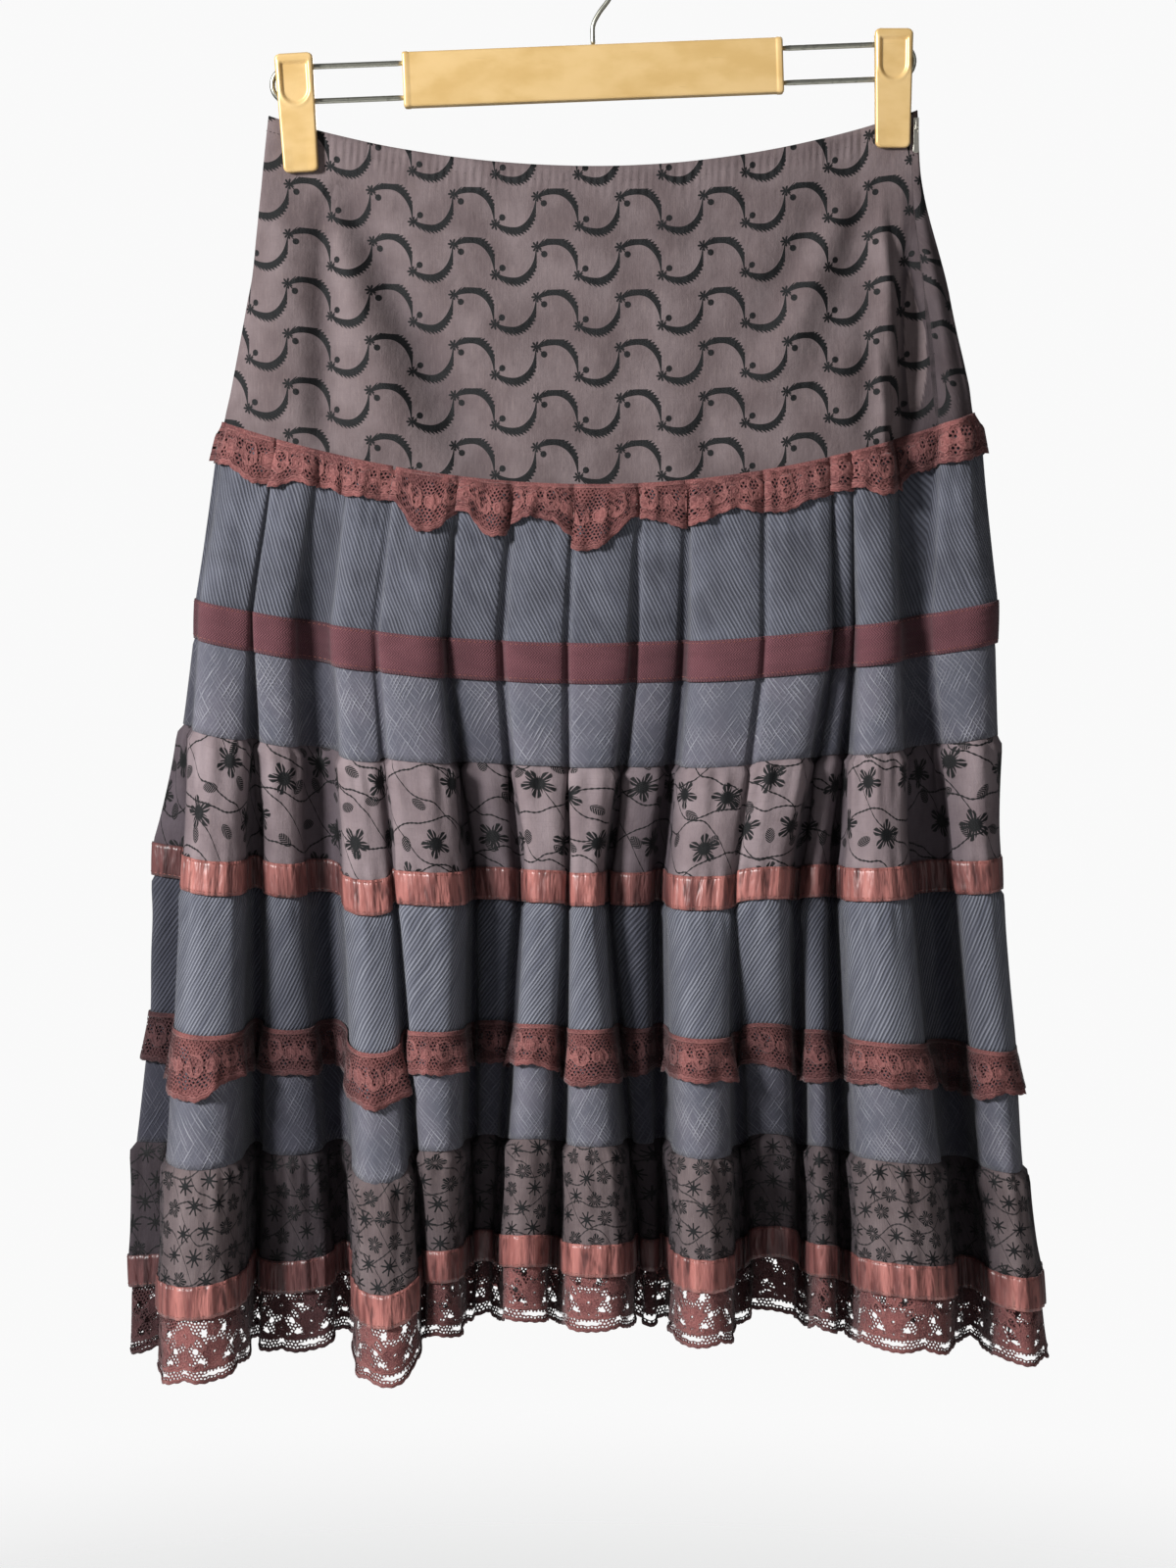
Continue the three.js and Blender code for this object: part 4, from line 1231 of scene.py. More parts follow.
@dataclass(frozen=True)
class SlateHatch(Finish):
    """Slate cloth cut on the bias, with paler broken slub threads that cross."""

    angles: tuple[float, float] = (58.0, -50.0)
    pitch: float = 1.9
    base: str = "595a65"
    pale: str = "aeaeb6"

    def paint(self, sheet: NodeSheet) -> bpy.types.Material:
        """Fills the material's node tree."""
        u, v = sheet.cloth()
        patch = sheet.noise(u / 28.0, v / 28.0, 7.0, 3.0)
        body = sheet.mottled(patch, self.base, "65636e")
        pale_lines = None
        relief = None
        for seed, degrees in enumerate(self.angles):
            wander = (sheet.noise(u / 30.0, v / 30.0, 3.0 + seed) - 0.5) * 3.0
            across, along = sheet.slanted(u, v, degrees)
            across = across + wander
            thread = ((across * TAU / self.pitch).sin() * 0.5 + 0.5).ramp(0.3, 0.95)
            streak = sheet.noise(across / 1.2, along / 18.0, 22.0 + seed, 2.0).ramp(0.4, 0.66)
            area = sheet.noise(u / 26.0, v / 26.0, 31.0 + 5.0 * seed, 2.0).ramp(0.36, 0.62)
            lines = thread * streak * (area * 0.7 + 0.3)
            pale_lines = lines if pale_lines is None else pale_lines.most(lines)
            relief = lines if relief is None else relief + lines
        # Pale threads, then painted shade in the valleys of the folds.
        colour = sheet.shaded_in_valleys(sheet.mix(pale_lines * 0.55, body, linear(self.pale)))
        weave = sheet.weave(u, v, 0.7, 0.7) * 0.25
        normal = sheet.bump(relief * 1.5 + weave, 0.7, 0.5)
        return sheet.finish(MATT_CLOTH, {"Base Color": colour, "Normal": normal})


@dataclass(frozen=True)
class Herringbone(Finish):
    """Twill tape whose fine rows lean to and fro."""

    base: str = "5f383f"
    pale: str = "86585d"

    def paint(self, sheet: NodeSheet) -> bpy.types.Material:
        """Fills the material's node tree."""
        u, v = sheet.cloth()
        row = 2.6
        fold = abs(v % (2 * row) - row)
        lines = ((u + fold) * TAU / 1.5).sin()
        fuzz = sheet.noise(u / 0.8, v / 0.8, 2.0, 3.0)
        patch = sheet.noise(u / 20.0, v / 10.0, 5.0, 3.0)
        body = sheet.mottled(patch, self.base, "6a4047")
        body = sheet.mix(lines.ramp(-0.2, -0.9) * 0.6, body, linear("3b1c20"))
        colour = sheet.mix(lines.ramp(0.3, 1.0) * fuzz.ramp(0.35, 0.7) * 0.5, body, linear(self.pale))
        # Painted shade in the valleys of the folds.
        colour = sheet.shaded_in_valleys(colour)
        normal = sheet.bump(lines * 0.5 + fuzz * 0.8, 0.7, 0.35)
        return sheet.finish(
            {"Roughness": 0.86, "Specular IOR Level": 0.3, "Sheen Weight": 0.1, "Sheen Roughness": 0.5},
            {"Base Color": colour, "Normal": normal},
        )


@dataclass(frozen=True)
class Satin(Finish):
    """Copper-maroon satin ribbon with fine weft lines and a stitched edge, with painted sheen bands and
    streaks and painted shade in its puckers.
    """

    base: str = "ab6c65"
    # Painted sheen highlight of the bright bands.
    painted_sheen: str = "e6b0a2"
    # Darker bands, painted shade beside the sheen.
    deep: str = "5f3331"
    # Painted shade in the troughs of the puckers.
    pucker_shade: str = "3a1c1c"

    def paint(self, sheet: NodeSheet) -> bpy.types.Material:
        """Fills the material's node tree."""
        u, v = sheet.cloth()
        band = sheet.noise(u / 7.0, v / 60.0, 1.0, 3.0)
        fine = sheet.noise(u / 0.5, v / 7.0, 4.0, 2.0)
        # Painted sheen: bands from a darker tone to a bright highlight and fine paler streaks, then painted
        # shade in the valleys of the folds.
        colour = sheet.mix(band.ramp(0.3, 0.62), linear(self.deep), linear(self.base))
        colour = sheet.mix(band.ramp(0.6, 0.82) * 0.5, colour, linear(self.painted_sheen))
        colour = sheet.shaded_in_valleys(sheet.mix(fine.ramp(0.5, 0.8) * 0.25, colour, linear("c58a80")))
        # Painted shade in the troughs of the puckers, from the same noise as their bump.
        pucker = sheet.noise(u / 3.6, v / 18.0, 8.0, 2.0)
        colour = sheet.mix(pucker.ramp(0.46, 0.3) * 0.75, colour, linear(self.pucker_shade))
        normal = sheet.bump(pucker, 0.9, 2.4)
        normal = sheet.bump(fine, 0.35, 0.12, normal)
        return sheet.finish(
            {"Specular IOR Level": 0.6, "Sheen Weight": 0.1, "Sheen Roughness": 0.35},
            {"Base Color": colour, "Normal": normal, "Roughness": 0.33 + fine * 0.14},
        )


@dataclass(frozen=True)
class Lace(Finish):
    """Maroon lace: dense motifs with thick outlines on a fine open net."""

    net: float
    base: str = "7f4c4a"
    pale: str = "a06c67"
    deep: str = "5a3334"

    def paint(self, sheet: NodeSheet) -> bpy.types.Material:
        """Fills the material's node tree."""
        u, v = sheet.cloth()
        motif, hole = sheet.stored("motif"), sheet.stored("hole")
        cut = hole.ramp(0.12, -0.12)
        dense = motif.ramp(-0.15, 0.15)
        outline = motif.ramp(-0.15, 0.1) * motif.ramp(0.95, 0.6)
        size, height = self.net, self.net * 0.87
        row = (v / height).floor()
        x = abs((u / size + (row % 2.0) * 0.5) % 1.0 - 0.5) * size
        y = abs((v / height) % 1.0 - 0.5) * height
        net = (x * x + y * y).sqrt().ramp(size * 0.24, size * 0.4)
        fuzz = sheet.noise(u / 0.9, v / 0.9, 2.0, 3.0)
        patch = sheet.noise(u / 16.0, v / 12.0, 5.0, 3.0)
        colour = sheet.mottled(patch, self.deep, self.base)
        colour = sheet.mix(fuzz.ramp(0.42, 0.72) * 0.6, colour, linear(self.pale))
        colour = sheet.mix(fuzz.ramp(0.45, 0.25) * 0.4, colour, linear("3a2122"))
        colour = sheet.mix(motif.ramp(0.05, -0.3) * 0.25, colour, linear("4a2c2d"))
        # Paler outlines, then painted shade in the valleys of the folds.
        colour = sheet.shaded_in_valleys(sheet.mix(outline * 0.22, colour, linear(self.pale)))
        alpha = dense.most(net) * cut
        normal = sheet.bump(dense * 0.8 + outline * 0.9 + fuzz * 0.8, 0.8, 0.6)
        return sheet.finish(
            {"Roughness": 0.88, "Specular IOR Level": 0.25, "Sheen Weight": 0.12, "Sheen Roughness": 0.5},
            {"Base Color": colour, "Normal": normal, "Alpha": alpha},
        )


@dataclass(frozen=True)
class GildedPlastic(Finish):
    """Gold-coloured moulded plastic with a soft gloss and small scuffs."""

    base: str = "ecc98c"
    deep: str = "deb878"

    def paint(self, sheet: NodeSheet) -> bpy.types.Material:
        """Fills the material's node tree."""
        x, y, z = sheet.place()
        cloud = sheet.noise(x / 26.0, z / 14.0, y / 14.0, 3.0)
        speck = sheet.noise(x / 0.6, z / 0.6, y / 0.6, 2.0)
        scuff = sheet.noise(x / 14.0, z / 0.8, y / 2.0, 3.0)
        colour = sheet.mottled(cloud, self.deep, self.base)
        colour = sheet.mix(cloud.ramp(0.35, 0.75) * 0.5, colour, linear("e8c48a"))
        colour = sheet.mix(scuff.ramp(0.68, 0.8) * 0.2, colour, linear("8a6734"))
        rough = 0.3 + cloud * 0.12 + scuff.ramp(0.6, 0.8) * 0.12
        normal = sheet.bump(speck + scuff * 0.6, 0.12, 0.12)
        return sheet.finish(
            {"Metallic": 0.25, "Specular IOR Level": 0.5},
            {"Base Color": colour, "Roughness": rough, "Normal": normal},
        )


@dataclass(frozen=True)
class Metal(Finish):
    """Plated wire or zip metal with fine drawn marks."""

    base: str = "b9b8ab"
    deep: str = "77766a"
    rough: float = 0.26

    def paint(self, sheet: NodeSheet) -> bpy.types.Material:
        """Fills the material's node tree."""
        x, y, z = sheet.place()
        stain = sheet.noise(x / 3.0, z / 3.0, y / 3.0, 4.0)
        drawn = sheet.noise(x / 8.0, z / 0.5, y / 0.5, 2.0)
        colour = sheet.mix(stain.ramp(0.52, 0.74) * 0.6, linear(self.base), linear(self.deep))
        normal = sheet.bump(drawn, 0.1, 0.1)
        return sheet.finish(
            {"Metallic": 1.0},
            {"Base Color": colour, "Roughness": self.rough + stain * 0.2, "Normal": normal},
        )


@dataclass(frozen=True)
class Thread(Finish):
    """Sewing thread with a slight twist."""

    base: str = "6a3833"
    pale: str = "a2675c"

    def paint(self, sheet: NodeSheet) -> bpy.types.Material:
        """Fills the material's node tree."""
        x, y, z = sheet.place()
        twist = ((x + z + y) * TAU / 0.5).sin()
        colour = sheet.mix(twist.ramp(-0.3, 0.9), linear(self.base), linear(self.pale))
        return sheet.finish({"Roughness": 0.6}, {"Base Color": colour, "Normal": sheet.bump(twist, 0.4, 0.1)})


# Cloth pieces


@dataclass(frozen=True)
class Relief:
    """A cloth relief and the stretch of the panel, in ring numbers, from which it fades."""

    shape: Gathers | Swells
    start: float
    end: float


class ArcTable:
    """Distance along the folded ring of each level, looked up by column place."""

    tables: dict[str, tuple[Array, Array]] = {}

    @classmethod
    def at(cls, name: str, columns: Array) -> Array:
        """Distance along one level's ring at each column place."""
        if name not in cls.tables:
            fine = np.linspace(0, len(FORM.knots(name)) - 1, 8001)
            ring = FORM.fold_ring(name, fine)
            steps = np.linalg.norm(np.diff(ring[:, :2], axis=0), axis=1)
            cls.tables[name] = (fine, np.concatenate([[0], np.cumsum(steps)]))
        fine, arc = cls.tables[name]
        return np.interp(columns, fine, arc)

    @classmethod
    def closed(cls, name: str, columns: Array) -> Array:
        """The same, followed by the length of the whole ring."""
        return np.append(cls.at(name, columns), cls.tables[name][1][-1])


@dataclass(frozen=True)
class Panel:
    """One tier or band of the skirt, a tube of cloth between two or more levels."""

    name: str
    levels: tuple[str, ...]
    finish: Finish
    slot: str
    cut: tuple[float, float]
    reliefs: tuple[Relief, ...] = ()
    creases: tuple[Crease, ...] = ()
    spacing: float = 1.25
    row_spacing: float = 4.0
    wall: float = 0.6
    tuck: float = 2.0
    sunk: float = 0.45
    tuck_sunk: float = 0.75

    @property
    def reference(self) -> str:
        """The level on which the cloth lies flattest, its lowest one."""
        return self.levels[-1]

    def depths(self) -> Array:
        """Distance of each of the panel's levels below the first one."""
        centres = np.array([LEVELS[n].centre for n in self.levels])
        return centres[0] - centres

    def relief_at(self, arc: Array, drop: Array, grid: Array) -> Array:
        """Height of all reliefs and creases.

        Args:
            arc: Place along the cloth of each column, as a row.
            drop: Distance below the first level of each row, as a column.
            grid: The plain points, for the creases.

        Returns:
            Height out of the plain surface for each row and column.
        """
        depths = self.depths()
        numbers = np.arange(len(depths))
        total = np.zeros(grid.shape[:2])
        for relief in self.reliefs:
            start, end = np.interp([relief.start, relief.end], numbers, depths)
            away = np.maximum(0, np.maximum(start - drop, drop - end))
            total += relief.shape.raised(arc, away)
        for crease in self.creases:
            total += crease.at(grid)
        return total * ease(drop, 0.0, 5.0)

    def surface(self, columns: Array, places: Array) -> tuple[Array, Array, Array]:
        """The cloth's outside.

        Args:
            columns: Column places.
            places: Row places in ring numbers.

        Returns:
            The points, their outward normals, and the distance of each row below the first level.
        """
        rings = [FORM.fold_ring(name, columns) for name in self.levels]
        grid = through(rings, places, False)
        normals = outward(grid)
        depths = self.depths()
        low, high = depths[0], depths[-1]
        drop = np.interp(places, np.arange(len(depths)), depths)
        drop = np.where(places < 0, low + places * (depths[1] - low), drop)
        drop = np.where(places > len(depths) - 1, high + (places - len(depths) + 1) * 20, drop)
        arc = ArcTable.at(self.reference, columns)[None, :]
        height = self.relief_at(arc, drop[:, None], grid)
        return grid + normals * height[..., None], normals, drop

    def places(self) -> Array:
        """Row places from the tucked top edge to the lower edge."""
        depths = self.depths()
        rows = max(3, int(depths[-1] / self.row_spacing))
        drops = np.linspace(0, depths[-1], rows + 1)
        places = np.interp(drops, depths, np.arange(len(depths)))
        first = self.tuck / depths[1]
        return np.concatenate([[-first, -first * 0.35], places])

    def make(self) -> bpy.types.Object:
        columns = FORM.even_columns(self.reference, self.spacing)
        places = self.places()
        grid, normals, drop = self.surface(columns, places)
        inset = (self.sunk + self.tuck_sunk * ease(-drop, 0.0, self.tuck)) * (1 - ease(drop, 0.5, 4.0))
        outer = grid - normals * inset[:, None, None]
        inner = outer - normals * self.wall
        rows = thinned(len(places), 5)
        along = ArcTable.closed(self.reference, columns)
        uv = np.stack(np.broadcast_arrays(along[None, :], drop[:, None]), axis=-1)
        item = Builder.shell(self.name, outer, inner, rows, uv)
        # Mask of the painted shade in the valleys of the folds.
        Builder.shell_attribute(item, "valley_shade", valley_of(outer), rows)
        return dress(item, self)


def dress(item: bpy.types.Object, piece: Any) -> bpy.types.Object:
    """Gives a cloth tube its finish, attaches it to the skirt's body and hides the CAD parts that it stands
    for.
    """
    item.data.materials.append(piece.finish.make())
    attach(item, "skirt")
    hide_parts(f"{piece.name}_front", f"{piece.name}_back")
    LOG.info("%s: %d faces", item.name, len(item.data.polygons))
    return item


@dataclass(frozen=True)
class Trim:
    """A ribbon or tape that lies on a panel between two of its rings."""

    name: str
    panel: Panel
    start: float
    end: float
    finish: Finish
    slot: str
    cut: tuple[float, float]
    spacing: float = 1.25
    rows: int = 8
    lift: float = 0.35
    wall: float = 0.4
    crown: float = 0.25
    overlap: float = 0.03

    def surface(self, columns: Array, places: Array) -> tuple[Array, Array]:
        """The trim's outside and its outward normals."""
        grid, normals, _ = self.panel.surface(columns, places)
        t = (places - self.start) / (self.end - self.start)
        bow = self.crown * np.maximum(0.0, np.sin(math.pi * np.clip(t, 0, 1))) ** 0.5
        return grid + normals * (self.lift + self.wall + bow[:, None, None]), normals

    def make(self) -> bpy.types.Object:
        columns = FORM.even_columns(self.panel.reference, self.spacing)
        places = np.linspace(self.start, self.end + self.overlap, self.rows)
        outer, normals = self.surface(columns, places)
        inner = outer - normals * self.wall
        along = ArcTable.closed(self.panel.reference, columns)
        depths = self.panel.depths()
        drop = np.interp(places, np.arange(len(depths)), depths)
        uv = np.stack(np.broadcast_arrays(along[None, :], drop[:, None]), axis=-1)
        kept = np.array([0, self.rows // 2, self.rows - 1])
        item = Builder.shell(self.name, outer, inner, kept, uv)
        # Mask of the painted shade in the valleys of the folds.
        Builder.shell_attribute(item, "valley_shade", valley_of(outer), kept)
        return dress(item, self)

    def edge_path(self, share: float, rise: float) -> Array:
        """Points of a line round the trim, for stitches, at a share of its width."""
        columns = FORM.even_columns(self.panel.reference, 3.0)
        place = self.start + (self.end - self.start) * share
        outer, normals = self.surface(columns, np.array([place]))
        return (outer + normals * rise)[0]


LACE_EDGE = 200.0
RUFFLE_REPEAT = 19.0
HEM_REPEAT = 34.0


def lace_places(name: str, columns: Array, above: Array) -> Array:
    """Cloth places of a lace, with a closing column.

    Args:
        name: The level along which the lace is sewn.
        columns: Its column places.
        above: Height of each row and column above the lace's free edge.

    Returns:
        The place along the lace, and down it from far above its edge, so that it stays positive.
    """
    high = np.concatenate([above, above[:, :1]], axis=1)
    return np.stack(np.broadcast_arrays(ArcTable.closed(name, columns)[None, :], LACE_EDGE - high), axis=-1)


class LaceField:
    """Motifs and holes of the laces, as distances in mm that are positive inside them."""

    @staticmethod
    def petals(x: Array, y: Array, size: float, count: int) -> Array:
        """A flower of rounded petals round a small open eye."""
        radius = np.hypot(x, y)
        angle = np.arctan2(y, x)
        edge = size * (0.6 + 0.4 * np.abs(np.cos(angle * count / 2)))
        return np.minimum(edge - radius, radius - size * 0.16)

    @staticmethod
    def oval(x: Array, y: Array, wide: float, tall: float, turn: float) -> Array:
        """A leaf-shaped oval, turned by an angle."""
        c, s = math.cos(turn), math.sin(turn)
        a, b = (x * c + y * s) / wide, (y * c - x * s) / tall
        return (1 - np.hypot(a, b)) * min(wide, tall)

    @classmethod
    def leaning(cls, x: Array, y: Array, apart: float, wide: float, tall: float, turn: float) -> Array:
        """Two ovals that lean to either side of the middle."""
        left = cls.oval(x - apart, y, wide, tall, turn)
        return np.maximum(left, cls.oval(x + apart, y, wide, tall, -turn))

    @staticmethod
    def centred(value: Array, repeat: float, shift: float = 0.0) -> Array:
        """Distance from the nearest repeat's middle."""
        return (value - shift + repeat / 2) % repeat - repeat / 2

    @classmethod
    def ruffle(cls, a: Array, b: Array, depth: Array) -> tuple[Array, Array]:
        """The two sewn-on laces: scrolls and small flowers between an edge and a header."""
        repeat = RUFFLE_REPEAT
        x = cls.centred(a, repeat)
        half = cls.centred(a, repeat, repeat / 2)
        up = b - depth * 0.5
        flower = cls.petals(x, up, 4.6, 5)
        leaf = cls.leaning(half, up + 1.6, 2.4, 3.6, 1.5, 0.9)
        scroll = 0.7 - np.abs(np.hypot(half / 1.1, up - 3.2) - 3.0)
        edge = 2.6 - b
        header = b - (depth - 2.2)
        motif = np.maximum.reduce([flower, leaf, scroll, edge, header])
        return motif, np.full_like(motif, -1.0)

    @classmethod
    def hem(cls, a: Array, b: Array, depth: Array) -> tuple[Array, Array]:
        """The wide hem lace: slits over a corded scallop edge, flowers, looped leaves and net."""
        repeat = HEM_REPEAT
        x = cls.centred(a, repeat)
        half = cls.centred(a, repeat, repeat / 2)
        flower = cls.petals(x, b - 16.0, 7.4, 6)
        small = cls.petals(half, b - 12.0, 5.2, 5)
        upper = cls.petals(half, b - 24.0, 6.4, 5)
        high = cls.petals(x, b - 28.5, 5.0, 5)
        leaf = cls.leaning(x, b - 21.0, 9.0, 6.4, 3.2, 0.85)
        leaf = np.minimum(leaf, 1.6 - leaf)
        low = cls.leaning(half, b - 8.6, 7.4, 4.6, 1.7, 0.5)
        cord = 2.1 - b
        bridge = 1.0 - np.abs(b - 7.6 - 0.6 * np.cos(TAU * a / repeat))
        header = b - (depth - 2.5)
        motif = np.maximum.reduce([flower, small, upper, high, leaf, low, cord, bridge, header])
        openings = (
            (x, 4.6, 8.0, 1.15, 1.15),
            (half, 4.6, 2.6, 1.0, 1.0),
            (np.abs(x) - 7.6, 11.2, 2.1, 1.7, 1.7),
            (np.abs(x) - 6.0, 27.0, 1.7, 2.0, 1.8),
            (np.abs(half) - 6.2, 17.2, 1.6, 1.8, 1.7),
        )
        holes = [(1 - np.hypot(at / wide, (b - up) / tall)) * size for at, up, wide, tall, size in openings]
        hole = np.maximum.reduce(holes)
        hole = np.where(motif > 0.3, np.minimum(hole, -0.3), hole)
        return motif, hole


@dataclass(frozen=True)
class Bunch:
    """A place where a ruffled lace bunches and hangs lower."""

    x: float
    half: float
    drop: float


@dataclass(frozen=True)
class RuffleLace:
    """A ruffled lace sewn on along a panel's first ring, its edge hanging free."""

    name: str
    panel: Panel
    finish: Finish
    slot: str
    cut: tuple[float, float]
    depth: float
    bunches: tuple[Bunch, ...]
    wave: float
    flare: float
    seed: int
    spacing: float = 1.3
    wall: float = 0.5
    rise: float = 2.2
    rows: int = 14

    def depth_at(self, ring: Array, arc: Array) -> Array:
        """How far the lace hangs down at each column."""
        noise = SoftNoise(self.seed)
        depth = self.depth + 1.6 * noise.at(arc / 23, 0.5)
        lobes = np.abs(np.sin(math.pi * arc / RUFFLE_REPEAT))
        shells = np.abs(np.sin(math.pi * arc / 5.0))
        depth += 1.5 * lobes + 0.9 * shells
        for bunch in self.bunches:
            near = ease(np.abs(ring[:, 0] - bunch.x), bunch.half * 1.15, bunch.half * 0.15)
            depth += bunch.drop * near * np.where(ring[:, 1] < 0, 1.0, 0.5)
        return depth

    def make(self) -> bpy.types.Object:
        panel = self.panel
        columns = FORM.even_columns(panel.levels[0], self.spacing)
        top = FORM.fold_ring(panel.levels[0], columns)
        arc = ArcTable.at(panel.levels[0], columns)
        depth = self.depth_at(top, arc)
        span = panel.depths()[1]
        shares = np.linspace(0, 1, self.rows)
        rings = [FORM.fold_ring(name, columns) for name in panel.levels[:2]]
        down = shares[:, None] * depth[None, :] / span
        lift = self.rise / span * (1 - shares[:, None])
        share = (down - lift)[..., None]
        grid = rings[0][None] * (1 - share) + rings[1][None] * share
        normals = outward(grid)
        reference = ArcTable.at(panel.reference, columns)[None, :]
        under = panel.relief_at(reference, np.maximum(0.0, share[..., 0] * span), grid)
        noise = SoftNoise(self.seed + 50)
        bend = 0.7 * noise.at(arc / (self.wave * 2.7), 1.5)
        phase = TAU * (arc / self.wave + bend)
        curl = np.sin(phase[None, :] + 0.5 * shares[:, None])
        fine = np.sin(phase[None, :] * 2.3 + 4 * noise.at(arc / 31, 9.5)[None, :])
        size = (0.75 + 0.45 * noise.at(arc / 37, 4.5))[None, :]
        grown = shares[:, None] ** 1.2
        out = under + 1.2 + 0.5 * shares[:, None] + self.flare * size * grown * (1.25 + curl + 0.3 * fine)
        outer = grid + normals * out[..., None]
        side = np.stack([-normals[..., 1], normals[..., 0], 0 * normals[..., 0]], axis=-1)
        outer = outer + side * (self.flare * 0.55 * size * grown * np.cos(phase)[None, :])[..., None]
        inner = outer - normals * self.wall
        kept = np.array([0, 4, 9, self.rows - 1])
        above = (1 - shares)[:, None] * depth[None, :]
        uv = lace_places(panel.levels[0], columns, above)
        item = Builder.shell(self.name, outer, inner, kept, uv)
        motif, hole = LaceField.ruffle(arc[None, :] + 0 * above, above, depth[None, :] + 0 * above)
        # Motif and holes, and the mask of the painted shade in the valleys of the folds.
        for key, values in (("motif", motif), ("hole", hole), ("valley_shade", valley_of(outer))):
            Builder.shell_attribute(item, key, values, kept)
        return dress(item, self)


@dataclass(frozen=True)
class HemLace:
    """The openwork lace below the lower ribbon, with a corded scallop edge."""

    name: str
    finish: Finish
    slot: str
    cut: tuple[float, float]
    spacing: float = 1.35
    wall: float = 0.55
    scallop: float = 3.4
    repeat: float = HEM_REPEAT
    hidden: float = 1.6 / 30
    opened_above: float = 0.22

    def make(self) -> bpy.types.Object:
        columns = FORM.even_columns("hem", self.spacing)
        arc = ArcTable.at("hem", columns)
        rings = [FORM.fold_ring(name, columns) for name in ("hem_ribbon_end", "hem")]
        span = np.linalg.norm(rings[1] - rings[0], axis=1)
        lobes = np.abs(np.cos(math.pi * arc / self.repeat)) ** 0.7
        shells = 0.8 * np.abs(np.sin(math.pi * arc / 5.2))
        edge = 1 + (self.scallop * (lobes - 0.75) + shells) / span
        depth = span * edge
        rows = int(36 / self.spacing)
        shares = np.linspace(0, 1, rows)[:, None]
        down = (shares * (edge[None, :] + self.hidden) - self.hidden)[..., None]
        grid = rings[0][None] * (1 - down) + rings[1][None] * down
        normals = outward(grid)
        above = (1 - shares) * depth[None, :]
        noise = SoftNoise(71)
        phase = TAU * (arc / 23.0 + 0.6 * noise.at(arc / 60, 0.5))
        flutter = (0.5 + 0.5 * np.sin(phase)[None, :]) * 2.2 * shares**1.3
        drift = 1.2 * noise.at(arc / 14, 3.5)[None, :] * shares
        cord = 0.45 * np.exp(-(((above - 1.3) / 1.0) ** 2))
        height = -0.35 * (1 - ease(shares, 0.0, 0.2)) + flutter + drift
        outer = grid + normals * (height + cord)[..., None]
        inner = grid + normals * (height - self.wall - cord * 0.6)[..., None]
        motif, hole = LaceField.hem(arc[None, :] + 0 * above, above, depth[None, :] + 0 * above)
        open_at = (hole > self.opened_above) & (shares > 0.04)
        ahead = np.roll(open_at, -1, axis=1)
        opened = open_at[:-1] & open_at[1:] & ahead[:-1] & ahead[1:]
        uv = lace_places("hem", columns, above)
        item, used = Builder.cut_shell(self.name, outer, inner, uv, opened)
        # Motif and holes, and the mask of the painted shade in the valleys of the folds.
        for key, values in (("motif", motif), ("hole", hole), ("valley_shade", valley_of(outer))):
            Builder.attribute(item, key, np.tile(values.ravel(), 2)[used])
        return dress(item, self)


